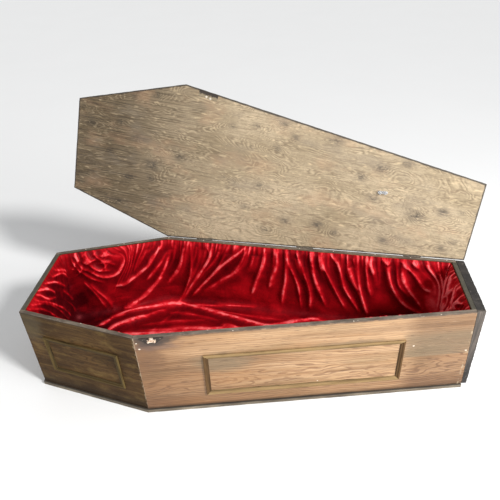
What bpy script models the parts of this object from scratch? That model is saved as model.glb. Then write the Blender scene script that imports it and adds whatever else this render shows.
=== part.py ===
"""A six-sided wooden coffin, standing on its base board with its one-piece lid hinged open.

The long side away from the viewer carries the hinges. The frame has its origin under the middle of
the base, +X towards the foot, +Y towards the hinge side and +Z up. Lengths are in metres.
"""

import math

import bmesh
import bpy
from mathutils import Matrix, Vector

# The box, measured over the outside of its boards
LENGTH = 1.900
HEAD_WIDTH = 0.440
SHOULDER_WIDTH = 0.732
FOOT_WIDTH = 0.350
SHOULDER_FROM_HEAD = 0.514
WALL_HEIGHT = 0.425
WALL_THICKNESS = 0.018
SIDE_FLARE = 0.016
BASE_THICKNESS = 0.018
BASE_LIP = 0.006
FOOT_BOARD_TOP = 0.037
FOOT_BOARD_BOTTOM = 0.023
FIT_GAP = 0.0003

# The framed panels on the four sides
STRIP_WIDTH = 0.021
STRIP_HEIGHT = 0.007
STRIP_STEP = 0.003
LONG_PANEL_FROM_SHOULDER = 0.262
LONG_PANEL_FROM_FOOT = 0.271
LONG_PANEL_FROM_RIM = 0.124
LONG_PANEL_FROM_BASE = 0.067
HEAD_PANEL_FROM_HEAD = 0.083
HEAD_PANEL_FROM_SHOULDER = 0.091
HEAD_PANEL_FROM_RIM = 0.119
HEAD_PANEL_FROM_BASE = 0.106

# The lid and how far it stands open
LID_THICKNESS = 0.018
LID_GAP = 0.001
LID_OPEN_DEGREES = 107.2

# The three stop hinges along the far side
HINGE_COUNT = 3
HINGE_END_DISTANCE = 0.190
HINGE_LENGTH = 0.075
KNUCKLE_COUNT = 5
KNUCKLE_RADIUS = 0.0040
KNUCKLE_GAP = 0.0004
PIN_RADIUS = 0.0021
PIN_CLEARANCE = 0.0003
PIN_HEAD_RADIUS = 0.0032
PIN_HEAD_HEIGHT = 0.0015
PIN_OUTWARD = 0.0006
HINGE_SEAT_CLEARANCE = 0.0005
LEAF_THICKNESS = 0.002
BOX_LEAF_HEIGHT = 0.034
LID_LEAF_HEIGHT = 0.0165
STOP_WIDTH = 0.009
STOP_REACH = 0.012
STOP_DROP = 0.024
STOP_CLEARANCE = 0.0003

# The catch below the rim of the near side, and its strike in the lid
CATCH_FROM_SHOULDER = 0.073
CATCH_FROM_RIM = 0.018
CATCH_PLATE_LENGTH = 0.096
CATCH_PLATE_HEIGHT = 0.030
CATCH_PLATE_THICKNESS = 0.002
CATCH_BODY_LENGTH = 0.035
CATCH_BODY_HEIGHT = 0.010
CATCH_BODY_DEPTH = 0.008
CATCH_TONGUE_WIDTH = 0.014
CATCH_TONGUE_BELOW_RIM = 0.0015
CATCH_BALL_RADIUS = 0.0050
STRIKE_FROM_SHOULDER = 0.116
STRIKE_LENGTH = 0.090
STRIKE_WIDTH = 0.026
STRIKE_THICKNESS = 0.002
STRIKE_FROM_EDGE = 0.003
STRIKE_SEAT_CLEARANCE = 0.0004

# The small hook plate inside the lid, near the foot
HOOK_FROM_FOOT = 0.383
HOOK_FROM_HINGE = 0.285
HOOK_PLATE_LENGTH = 0.044
HOOK_PLATE_WIDTH = 0.012
HOOK_PLATE_THICKNESS = 0.0016
HOOK_KNOB_RADIUS = 0.0080
HOOK_KNOB_HEIGHT = 0.0060
HOOK_POST_LENGTH = 0.017
HOOK_POST_WIDTH = 0.007
HOOK_POST_HEIGHT = 0.0080
HOOK_SPACING = 0.023

# The padded velvet lining
LINING_WALL = 0.012
LINING_FLOOR = 0.042
LINING_BELOW_RIM = 0.004
LINING_CLEARANCE = 0.0010

RIM_HEIGHT = BASE_THICKNESS + WALL_HEIGHT
UP = Vector((0, 0, 1))


def clear_scene():
    for old in list(bpy.data.objects):
        bpy.data.objects.remove(old, do_unlink=True)


def make_material(name, colour, roughness, metallic=0.0):
    material = bpy.data.materials.new(name)
    material.use_nodes = True
    shader = material.node_tree.nodes["Principled BSDF"]
    shader.inputs["Base Color"].default_value = (*colour, 1)
    shader.inputs["Roughness"].default_value = roughness
    shader.inputs["Metallic"].default_value = metallic
    material.diffuse_color = (*colour, 1)
    return material


def add_object(name, mesh_builder, material, parent=None, matrix=None):
    """Make a named object from a bmesh whose faces are turned to point outwards."""
    bmesh.ops.recalc_face_normals(mesh_builder, faces=mesh_builder.faces)
    mesh = bpy.data.meshes.new(name)
    mesh_builder.to_mesh(mesh)
    mesh_builder.free()
    mesh.materials.append(material)
    made = bpy.data.objects.new(name, mesh)
    bpy.context.collection.objects.link(made)
    made.parent = parent
    if matrix is not None:
        made.matrix_basis = matrix
    return made


def hull(corners):
    """A bmesh of the convex solid round these corners."""
    shape = bmesh.new()
    for corner in corners:
        shape.verts.new(corner)
    bmesh.ops.convex_hull(shape, input=shape.verts)
    return shape


def prism(outline, start, end):
    """Sweep an outline of two-value points from start to end along the first axis."""
    shape = bmesh.new()
    first = [shape.verts.new((start, u, v)) for u, v in outline]
    last = [shape.verts.new((end, u, v)) for u, v in outline]
    shape.faces.new(first)
    shape.faces.new(reversed(last))
    for i in range(len(outline)):
        j = (i + 1) % len(outline)
        shape.faces.new((first[i], first[j], last[j], last[i]))
    return shape


def round_bar(radius, start, end, sides=20):
    """A bar along the first axis."""
    turns = [2 * math.pi * i / sides for i in range(sides)]
    return prism([(radius * math.cos(t), radius * math.sin(t)) for t in turns], start, end)


def combine(target, mesh_builder, operation):
    """Join a shape to the target, or cut it out, and keep the result as the target's own mesh."""
    bmesh.ops.recalc_face_normals(mesh_builder, faces=mesh_builder.faces)
    mesh = bpy.data.meshes.new("tool")
    mesh_builder.to_mesh(mesh)
    mesh_builder.free()
    tool = bpy.data.objects.new("tool", mesh)
    bpy.context.collection.objects.link(tool)
    kept_parent = target.parent
    kept_place = target.matrix_basis.copy()
    target.parent = None
    target.matrix_basis = Matrix.Identity(4)
    modifier = target.modifiers.new("shape", "BOOLEAN")
    modifier.operation = operation
    modifier.object = tool
    bpy.context.view_layer.update()
    graph = bpy.context.evaluated_depsgraph_get()
    shaped = bpy.data.meshes.new_from_object(target.evaluated_get(graph))
    target.modifiers.clear()
    target.data = shaped
    bpy.data.objects.remove(tool, do_unlink=True)
    target.parent = kept_parent
    target.matrix_basis = kept_place


def plan_offset(outline, distances):
    """Move each side of a plan outline, given anticlockwise, inwards by its own distance."""
    sides = []
    for i, corner in enumerate(outline):
        along = (outline[(i + 1) % len(outline)] - corner).normalized()
        inward = Vector((-along.y, along.x))
        sides.append((corner + inward * distances[i], along))
    moved = []
    for i in range(len(outline)):
        (p, a), (q, b) = sides[i - 1], sides[i]
        step = (q - p).cross(b) / a.cross(b)
        moved.append(p + a * step)
    return moved


def slope_at(x, a, b):
    """The y of the line through two plan points at x."""
    return a.y + (b.y - a.y) * (x - a.x) / (b.x - a.x)


# The plan runs anticlockwise from the head's near corner, past the near shoulder to the foot.
HEAD_X = -LENGTH / 2
SHOULDER_X = HEAD_X + SHOULDER_FROM_HEAD
FOOT_X = LENGTH / 2
FULL_RIM = [
    Vector((HEAD_X, -HEAD_WIDTH / 2)),
    Vector((SHOULDER_X, -SHOULDER_WIDTH / 2)),
    Vector((FOOT_X, -FOOT_WIDTH / 2)),
    Vector((FOOT_X, FOOT_WIDTH / 2)),
    Vector((SHOULDER_X, SHOULDER_WIDTH / 2)),
    Vector((HEAD_X, HEAD_WIDTH / 2)),
]


def outline_at(height, inset=0.0, foot_inset=0.0, head_inset=0.0):
    """The walls' outer plan at a height above the floor, moved inwards by an inset on each side."""
    down = (RIM_HEIGHT - height) / WALL_HEIGHT
    flare = SIDE_FLARE * down
    foot = FOOT_BOARD_TOP + (FOOT_BOARD_BOTTOM - FOOT_BOARD_TOP) * down
    side = flare + inset
    return plan_offset(FULL_RIM, [side, side, foot + foot_inset, side, side, head_inset])


class Wall:
    """One side board's outer face, from its left-hand end to its right-hand end seen from outside."""

    def __init__(self, first, second):
        top = outline_at(RIM_HEIGHT)
        self.length = (top[second] - top[first]).length
        along = (top[second] - top[first]).normalized()
        self.along = Vector((along.x, along.y, 0))
        outward = Vector((along.y, -along.x, 0))
        self.start = Vector((top[first].x, top[first].y, RIM_HEIGHT))
        self.up = (UP * WALL_HEIGHT + outward * SIDE_FLARE).normalized()
        self.out = self.along.cross(self.up)
        self.height = WALL_HEIGHT / self.up.z

    def matrix(self, along, down):
        """A frame on the face: X along the board, Y out of it and Z up it."""
        place = self.start + self.along * along - self.up * down
        axes = (-self.along, self.out, self.up)
        return Matrix.Translation(place) @ Matrix(axes).transposed().to_4x4()


def side_board(name, first, second, material):
    """A leaning side board, mitred at the shoulder and cut square to the length at its other end."""
    shoulder_end = first if abs(FULL_RIM[first].x - SHOULDER_X) < abs(FULL_RIM[second].x - SHOULDER_X) else second
    corners = []
    for height in (BASE_THICKNESS + FIT_GAP, RIM_HEIGHT):
        outer = outline_at(height)
        inner = outline_at(height, inset=WALL_THICKNESS)
        run = (outer[second] - outer[first]).normalized()
        for line in (outer, inner):
            for end, sign in ((first, 1), (second, -1)):
                if end == shoulder_end:
                    point = line[end] + run * sign * FIT_GAP
                else:
                    x = outer[end].x
                    point = Vector((x, slope_at(x, line[first], line[second])))
                corners.append((point.x, point.y, height))
    return add_object(name, hull(corners), material)


def end_board(name, near, far, inward, material):
    """The short board between the two sides at one end, lying in the plane of their cut ends."""
    corners = []
    for height in (BASE_THICKNESS + FIT_GAP, RIM_HEIGHT):
        outer = outline_at(height)
        inner = outline_at(height, inset=WALL_THICKNESS + FIT_GAP)
        neighbours = {0: 1, 5: 4, 2: 1, 3: 4}
        for end in (near, far):
            for x in (outer[end].x, outer[end].x + inward * WALL_THICKNESS):
                corners.append((x, slope_at(x, inner[end], inner[neighbours[end]]), height))
    return add_object(name, hull(corners), material)


def build_foot_board(material):
    """The thicker outer board on the foot end, wedge-shaped so that its face stands upright."""
    corners = []
    for height in (BASE_THICKNESS + FIT_GAP, RIM_HEIGHT):
        outer = outline_at(height)
        for end, neighbour in ((2, 1), (3, 4)):
            for x in (outer[end].x + FIT_GAP, FOOT_X):
                corners.append((x, slope_at(x, outer[neighbour], outer[end]), height))
    return add_object("foot_board", hull(corners), material)


def build_base_board(material):
    """The bottom board, standing a little proud of every wall but the foot."""
    foot = FOOT_BOARD_BOTTOM
    side = SIDE_FLARE - BASE_LIP
    plan = plan_offset(FULL_RIM, [side, side, foot, side, side, -BASE_LIP])
    return add_object(
        "base_board", hull([(p.x, p.y, z) for p in plan for z in (0, BASE_THICKNESS)]), material
    )


def build_lining(material):
    """The padded lining as one soft tub: thin walls against the boards and a thick floor pad."""
    shape = bmesh.new()
    foot_skin = WALL_THICKNESS + LINING_CLEARANCE
    low = BASE_THICKNESS + LINING_CLEARANCE
    floor = BASE_THICKNESS + LINING_FLOOR
    high = RIM_HEIGHT - LINING_BELOW_RIM
    rings = []
    for height, thickness in ((low, 0), (high, 0), (high, LINING_WALL), (floor, LINING_WALL)):
        skin = foot_skin + thickness
        plan = outline_at(height, inset=skin, foot_inset=skin, head_inset=skin)
        rings.append([shape.verts.new((p.x, p.y, height)) for p in plan])
    shape.faces.new(rings[0])
    shape.faces.new(rings[-1])
    for ring, following in zip(rings, rings[1:]):
        for i in range(6):
            j = (i + 1) % 6
            shape.faces.new((ring[i], ring[j], following[j], following[i]))
    return add_object("velvet_lining", shape, material)


def strip_profile():
    """The moulding's section: a raised outer half that steps down to a low inner edge."""
    middle = STRIP_WIDTH * 0.52
    return [
        (0, 0),
        (0, STRIP_HEIGHT - STRIP_STEP / 2),
        (STRIP_STEP / 2, STRIP_HEIGHT),
        (middle - STRIP_STEP, STRIP_HEIGHT),
        (middle, STRIP_HEIGHT - STRIP_STEP),
        (STRIP_WIDTH - STRIP_STEP, STRIP_STEP),
        (STRIP_WIDTH, STRIP_STEP / 2),
        (STRIP_WIDTH, 0),
    ]


def strip(name, length, wall, along, down, turn, material):
    """One mitred strip whose outer edge starts at a corner of the panel and turns with its side."""
    shape = bmesh.new()
    ends = []
    for end in (0, 1):
        ring = []
        for across, rise in strip_profile():
            run = across + FIT_GAP if end == 0 else length - across - FIT_GAP
            ring.append(shape.verts.new((run, rise + FIT_GAP, -across)))
        ends.append(ring)
    shape.faces.new(ends[0])
    shape.faces.new(reversed(ends[1]))
    for i in range(len(ends[0])):
        j = (i + 1) % len(ends[0])
        shape.faces.new((ends[0][i], ends[0][j], ends[1][j], ends[1][i]))
    flip = Matrix.Scale(-1, 4, (1, 0, 0))
    shape.transform(flip)
    spin = Matrix.Rotation(math.radians(turn), 4, "Y")
    return add_object(name, shape, material, matrix=wall.matrix(along, down) @ spin)


def build_panel(side, wall, left, right, from_rim, from_base, material):
    """Four mitred strips that frame a plain panel on the face of a side board."""
    width = wall.length - left - right
    height = wall.height - from_rim - from_base
    corners = (
        ("top", width, left, from_rim, 0),
        ("right", height, left + width, from_rim, -90),
        ("bottom", width, left + width, from_rim + height, 180),
        ("left", height, left, from_rim + height, 90),
    )
    for place, length, along, down, turn in corners:
        strip(f"{side}_moulding_{place}", length, wall, along, down, turn, material)


def hinge_line():
    """The start of the hinge pin's line at the far shoulder, and its direction towards the foot."""
    shoulder, foot = FULL_RIM[4], FULL_RIM[3]
    along = Vector((foot.x - shoulder.x, foot.y - shoulder.y, 0)).normalized()
    outward = UP.cross(along)
    start = Vector((shoulder.x, shoulder.y, RIM_HEIGHT + LID_GAP / 2)) + outward * PIN_OUTWARD
    return start, along, outward


def hinge_frame():
    """A frame on the pin: X towards the foot, Y outwards from the far side and Z up."""
    start, along, outward = hinge_line()
    return Matrix.Translation(start) @ Matrix((along, outward, UP)).transposed().to_4x4()


def hinge_place(along):
    return Matrix.Translation((along, 0, 0))


def build_leaf(name, parent, along, own_first, plate, extra, material):
    """A leaf: its plate, the knuckles that are its own, a bore for the pin, and any stop."""
    pitch = HINGE_LENGTH / KNUCKLE_COUNT
    leaf = add_object(name, prism(plate, -HINGE_LENGTH / 2, HINGE_LENGTH / 2), material, parent)
    leaf.matrix_basis = hinge_place(along)
    for i in range(KNUCKLE_COUNT):
        start = -HINGE_LENGTH / 2 + i * pitch
        own = (i % 2 == 0) == own_first
        if own:
            combine(leaf, round_bar(KNUCKLE_RADIUS, start + KNUCKLE_GAP, start + pitch - KNUCKLE_GAP), "UNION")
        else:
            notch = KNUCKLE_RADIUS + KNUCKLE_GAP
            combine(leaf, round_bar(notch, start - KNUCKLE_GAP, start + pitch + KNUCKLE_GAP), "DIFFERENCE")
    if extra is not None:
        combine(leaf, extra, "UNION")
    bore = PIN_RADIUS + PIN_CLEARANCE
    combine(leaf, round_bar(bore, -HINGE_LENGTH, HINGE_LENGTH), "DIFFERENCE")
    return leaf


def box_leaf_plate():
    """The section of the leaf on the wall, which leans with the wall's face."""
    lean = SIDE_FLARE / WALL_HEIGHT
    face = -PIN_OUTWARD + FIT_GAP
    top, low = -LID_GAP / 2, -BOX_LEAF_HEIGHT
    return [
        (face + lean * top, top),
        (face + LEAF_THICKNESS, top),
        (face + LEAF_THICKNESS + lean * low, low),
        (face + lean * low, low),
    ]


def lid_leaf_plate():
    """The section of the leaf on the lid's edge, drawn with the lid shut."""
    face = -PIN_OUTWARD + FIT_GAP
    low = LID_GAP / 2
    return [
        (face, low),
        (face + LEAF_THICKNESS, low),
        (face + LEAF_THICKNESS, LID_LEAF_HEIGHT),
        (face, LID_LEAF_HEIGHT),
    ]


def stop_lug():
    """The bracket on the box leaf that the lid leaf comes to rest on when the lid is open."""
    opening = math.radians(LID_OPEN_DEGREES)
    face = -PIN_OUTWARD + FIT_GAP + LEAF_THICKNESS

    def rest(height):
        y = face * math.cos(opening) + height * math.sin(opening)
        z = -face * math.sin(opening) + height * math.cos(opening)
        return y, z - STOP_CLEARANCE

    near_y, near_z = rest(STOP_REACH * 0.62)
    tip_y, tip_z = rest(STOP_REACH)
    lean = SIDE_FLARE / WALL_HEIGHT
    back = face - LEAF_THICKNESS / 2
    outline = [
        (back - lean * STOP_DROP, -STOP_DROP),
        (tip_y, tip_z - LEAF_THICKNESS),
        (tip_y, tip_z),
        (near_y, near_z),
        (back - lean * STOP_DROP / 2, -STOP_DROP / 2),
    ]
    return prism(outline, -STOP_WIDTH / 2, STOP_WIDTH / 2)


def hinge_seat():
    """The groove along a board's arris that the knuckles and the pin's heads turn in."""
    half = HINGE_LENGTH / 2 + KNUCKLE_GAP + PIN_HEAD_HEIGHT + HINGE_SEAT_CLEARANCE
    return round_bar(KNUCKLE_RADIUS + HINGE_SEAT_CLEARANCE, -half, half)


def build_hinges(lid_axis, side, lid, materials):
    """Three hinges spread along the far side, each of two leaves and a pin, let into both arrises."""
    fixed = bpy.data.objects.new("hinge_axis", None)
    bpy.context.collection.objects.link(fixed)
    fixed.matrix_basis = hinge_frame()
    bpy.context.view_layer.update()
    length = (outline_at(RIM_HEIGHT)[3] - FULL_RIM[4]).length
    step = (length - 2 * HINGE_END_DISTANCE) / (HINGE_COUNT - 1)
    for i in range(HINGE_COUNT):
        along = HINGE_END_DISTANCE + i * step
        number = i + 1
        wall_seat = hinge_seat()
        wall_seat.transform(fixed.matrix_basis @ hinge_place(along))
        combine(side, wall_seat, "DIFFERENCE")
        lid_seat = hinge_seat()
        lid_seat.transform(hinge_place(along))
        combine(lid, lid_seat, "DIFFERENCE")
        stop = stop_lug()
        build_leaf(f"hinge_{number}_box_leaf", fixed, along, True, box_leaf_plate(), stop, materials["steel"])
        build_leaf(f"hinge_{number}_lid_leaf", lid_axis, along, False, lid_leaf_plate(), None, materials["steel"])
        half = HINGE_LENGTH / 2
        pin = add_object(f"hinge_{number}_pin", round_bar(PIN_RADIUS, -half, half), materials["steel"], fixed)
        pin.matrix_basis = hinge_place(along)
        for end in (-1, 1):
            near = end * (half + KNUCKLE_GAP)
            far = end * (half + KNUCKLE_GAP + PIN_HEAD_HEIGHT)
            combine(pin, round_bar(PIN_RADIUS, min(0, far), max(0, far)), "UNION")
            combine(pin, round_bar(PIN_HEAD_RADIUS, min(near, far), max(near, far)), "UNION")


def lid_outline():
    """The lid's plan in the hinge's frame, with the lid shut."""
    to_hinge = hinge_frame().inverted()
    return [to_hinge @ Vector((p.x, p.y, RIM_HEIGHT + LID_GAP)) for p in FULL_RIM]


def build_lid(lid_axis, materials):
    """The lid is one board cut to the plan of the rim, with a seat sunk for the strike plate."""
    low = LID_GAP / 2
    plan = [(p.x, p.y) for p in lid_outline()]
    board = hull([(x, y, z) for x, y in plan for z in (low, low + LID_THICKNESS)])
    lid = add_object("lid_board", board, materials["lid"], lid_axis)
    # The strike lies along the lid's near long edge, which the plan's points 1 and 2 end.
    shoulder, foot = Vector(plan[1]), Vector(plan[2])
    run = (foot - shoulder).normalized()
    inward = Vector((-run.y, run.x))
    centre = shoulder + run * STRIKE_FROM_SHOULDER + inward * (STRIKE_FROM_EDGE + STRIKE_WIDTH / 2)
    half = Vector((STRIKE_LENGTH / 2, STRIKE_WIDTH / 2))

    def plate(margin, bottom, top):
        corners = []
        for a in (-1, 1):
            for b in (-1, 1):
                place = centre + run * a * (half.x + margin) + inward * b * (half.y + margin)
                corners += [(place.x, place.y, bottom), (place.x, place.y, top)]
        return hull(corners)

    seat_top = low + STRIKE_THICKNESS + FIT_GAP
    combine(lid, plate(STRIKE_SEAT_CLEARANCE, low - STRIKE_THICKNESS, seat_top), "DIFFERENCE")
    add_object("lid_strike", plate(0, low, low + STRIKE_THICKNESS), materials["iron"], lid_axis)
    build_hook(lid_axis, plan, low, materials["nickel"])
    return lid


def build_hook(lid_axis, plan, low, material):
    """A narrow plate with a round knob and an upright post, on the lid's inner face."""
    foot_corner = Vector(plan[3])
    place = Vector((foot_corner.x - HOOK_FROM_FOOT, -HOOK_FROM_HINGE))
    along, across = HOOK_PLATE_LENGTH / 2, HOOK_PLATE_WIDTH / 2
    chamfer = across * 0.5
    outline = [
        (-along, -across + chamfer),
        (-along + chamfer, -across),
        (along - chamfer, -across),
        (along, -across + chamfer),
        (along, across - chamfer),
        (along - chamfer, across),
        (-along + chamfer, across),
        (-along, across - chamfer),
    ]
    top = -FIT_GAP
    bottom = top - HOOK_PLATE_THICKNESS
    plate = hull([(x, y, z) for x, y in outline for z in (bottom, top)])
    hook = add_object("lid_hook", plate, material, lid_axis)
    hook.matrix_basis = Matrix.Translation((place.x, place.y, low))
    quarter = Matrix.Rotation(math.radians(90), 4, "Y")
    knob = round_bar(HOOK_KNOB_RADIUS, 0, HOOK_KNOB_HEIGHT + HOOK_PLATE_THICKNESS / 2, 20)
    knob.transform(Matrix.Translation((HOOK_SPACING / 2, 0, top - HOOK_PLATE_THICKNESS / 2)) @ quarter)
    combine(hook, knob, "UNION")
    corners = []
    for x in (-HOOK_SPACING / 2 - HOOK_POST_WIDTH / 2, -HOOK_SPACING / 2 + HOOK_POST_WIDTH / 2):
        for y in (-HOOK_POST_LENGTH / 2, HOOK_POST_LENGTH / 2):
            corners += [(x, y, top - HOOK_PLATE_THICKNESS / 2), (x, y, bottom - HOOK_POST_HEIGHT)]
    combine(hook, hull(corners), "UNION")


def build_catch(wall, materials):
    """A dark boat-shaped plate under the rim and a brass catch body with a ball at each end."""
    along, up = CATCH_PLATE_LENGTH / 2, CATCH_PLATE_HEIGHT / 2
    half_outline = [(along, up), (along, up * 0.7), (along * 0.35, -up)]
    outline = half_outline + [(-x, z) for x, z in half_outline]
    place = wall.matrix(CATCH_FROM_SHOULDER, CATCH_FROM_RIM)
    corners = [(x, y, z) for x, z in outline for y in (FIT_GAP, FIT_GAP + CATCH_PLATE_THICKNESS)]
    add_object("catch_plate", hull(corners), materials["iron"], matrix=place)
    inner = 2 * FIT_GAP + CATCH_PLATE_THICKNESS
    body_x, body_z = CATCH_BODY_LENGTH / 2, CATCH_BODY_HEIGHT / 2
    chamfer = CATCH_BODY_DEPTH * 0.3
    corners = [(x, inner, z) for x in (-body_x, body_x) for z in (-body_z, body_z)]
    for x in (-body_x + chamfer, body_x - chamfer):
        for z in (-body_z + chamfer, body_z - chamfer):
            corners.append((x, inner + CATCH_BODY_DEPTH, z))
    body = add_object("catch_body", hull(corners), materials["brass"], matrix=place)
    tongue_x = CATCH_TONGUE_WIDTH / 2
    tongue_top = CATCH_FROM_RIM - CATCH_TONGUE_BELOW_RIM
    tongue = hull(
        [(x, y, z) for x in (-tongue_x, tongue_x) for y in (inner, inner + CATCH_BODY_DEPTH * 0.6)
         for z in (0, tongue_top)]
    )
    combine(body, tongue, "UNION")
    for side in (-1, 1):
        ball = bmesh.new()
        bmesh.ops.create_uvsphere(ball, u_segments=14, v_segments=9, radius=CATCH_BALL_RADIUS)
        centre = (side * (body_x - CATCH_BALL_RADIUS), inner + CATCH_BODY_DEPTH * 0.8, 0)
        ball.transform(Matrix.Translation(centre))
        combine(body, ball, "UNION")


def build_coffin():
    clear_scene()
    materials = {
        "walls": make_material("stained_boards", (0.36, 0.24, 0.15), 0.62),
        "lid": make_material("lid_plywood", (0.40, 0.31, 0.21), 0.66),
        "foot": make_material("dark_foot_board", (0.06, 0.05, 0.045), 0.7),
        "base": make_material("base_plywood", (0.24, 0.20, 0.15), 0.75),
        "moulding": make_material("moulding_wood", (0.30, 0.21, 0.13), 0.6),
        "velvet": make_material("crimson_velvet", (0.33, 0.005, 0.012), 0.8),
        "steel": make_material("hinge_steel", (0.35, 0.33, 0.30), 0.45, 1.0),
        "iron": make_material("blackened_iron", (0.05, 0.045, 0.04), 0.5, 1.0),
        "brass": make_material("catch_brass", (0.62, 0.47, 0.24), 0.35, 1.0),
        "nickel": make_material("hook_nickel", (0.72, 0.72, 0.70), 0.25, 1.0),
    }
    build_base_board(materials["base"])
    side_board("head_side_near", 0, 1, materials["walls"])
    side_board("side_near", 1, 2, materials["walls"])
    side_far = side_board("side_far", 3, 4, materials["walls"])
    side_board("head_side_far", 4, 5, materials["walls"])
    end_board("head_end", 0, 5, 1, materials["walls"])
    end_board("foot_end", 2, 3, -1, materials["walls"])
    build_foot_board(materials["foot"])
    build_lining(materials["velvet"])

    long_near, long_far = Wall(1, 2), Wall(3, 4)
    head_near, head_far = Wall(0, 1), Wall(4, 5)
    rim, base = LONG_PANEL_FROM_RIM, LONG_PANEL_FROM_BASE
    ends = (LONG_PANEL_FROM_SHOULDER, LONG_PANEL_FROM_FOOT)
    build_panel("side_near", long_near, *ends, rim, base, materials["moulding"])
    build_panel("side_far", long_far, *reversed(ends), rim, base, materials["moulding"])
    rim, base = HEAD_PANEL_FROM_RIM, HEAD_PANEL_FROM_BASE
    ends = (HEAD_PANEL_FROM_HEAD, HEAD_PANEL_FROM_SHOULDER)
    build_panel("head_side_near", head_near, *ends, rim, base, materials["moulding"])
    build_panel("head_side_far", head_far, *reversed(ends), rim, base, materials["moulding"])
    build_catch(long_near, materials)

    lid_axis = bpy.data.objects.new("lid_axis", None)
    bpy.context.collection.objects.link(lid_axis)
    lid_axis.matrix_basis = hinge_frame()
    lid = build_lid(lid_axis, materials)
    build_hinges(lid_axis, side_far, lid, materials)
    opened = Matrix.Rotation(-math.radians(LID_OPEN_DEGREES), 4, "X")
    lid_axis.matrix_basis = hinge_frame() @ opened
    bpy.context.view_layer.update()


build_coffin()
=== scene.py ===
"""The look of a six-sided wooden coffin with a crimson velvet lining and its lid standing open."""

import math

import bmesh
import bpy
import numpy as np
from mathutils import Matrix, Vector, noise


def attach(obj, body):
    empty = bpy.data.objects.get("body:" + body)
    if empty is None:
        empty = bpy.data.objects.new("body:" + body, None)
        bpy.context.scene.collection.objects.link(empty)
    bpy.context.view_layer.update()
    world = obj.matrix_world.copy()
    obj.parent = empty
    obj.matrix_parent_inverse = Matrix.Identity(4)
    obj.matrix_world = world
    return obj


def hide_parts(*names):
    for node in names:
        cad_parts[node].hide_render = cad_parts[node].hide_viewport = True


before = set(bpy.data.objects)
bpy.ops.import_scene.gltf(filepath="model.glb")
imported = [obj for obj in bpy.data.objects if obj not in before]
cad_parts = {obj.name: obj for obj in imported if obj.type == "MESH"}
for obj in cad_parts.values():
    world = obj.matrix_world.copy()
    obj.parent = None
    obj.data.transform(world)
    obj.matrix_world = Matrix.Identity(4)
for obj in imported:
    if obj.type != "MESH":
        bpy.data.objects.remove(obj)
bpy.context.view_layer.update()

# The camera stands above and in front of the near long side, a little left of the middle, and looks
# down into the box at about 35 degrees.
def new_object(name, data):
    """A new object in the scene, at the origin."""
    made = bpy.data.objects.new(name, data)
    bpy.context.scene.collection.objects.link(made)
    return made


camera_data = bpy.data.cameras.new("camera")
camera_data.sensor_width = 36.0
camera_data.lens = 39.421
camera = new_object("camera", camera_data)
camera.location = (0.1744, -1.8943, 1.8850)
camera.rotation_euler = [math.radians(a) for a in (56.1718, 2.1016, 3.7319)]
bpy.context.scene.camera = camera

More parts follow.
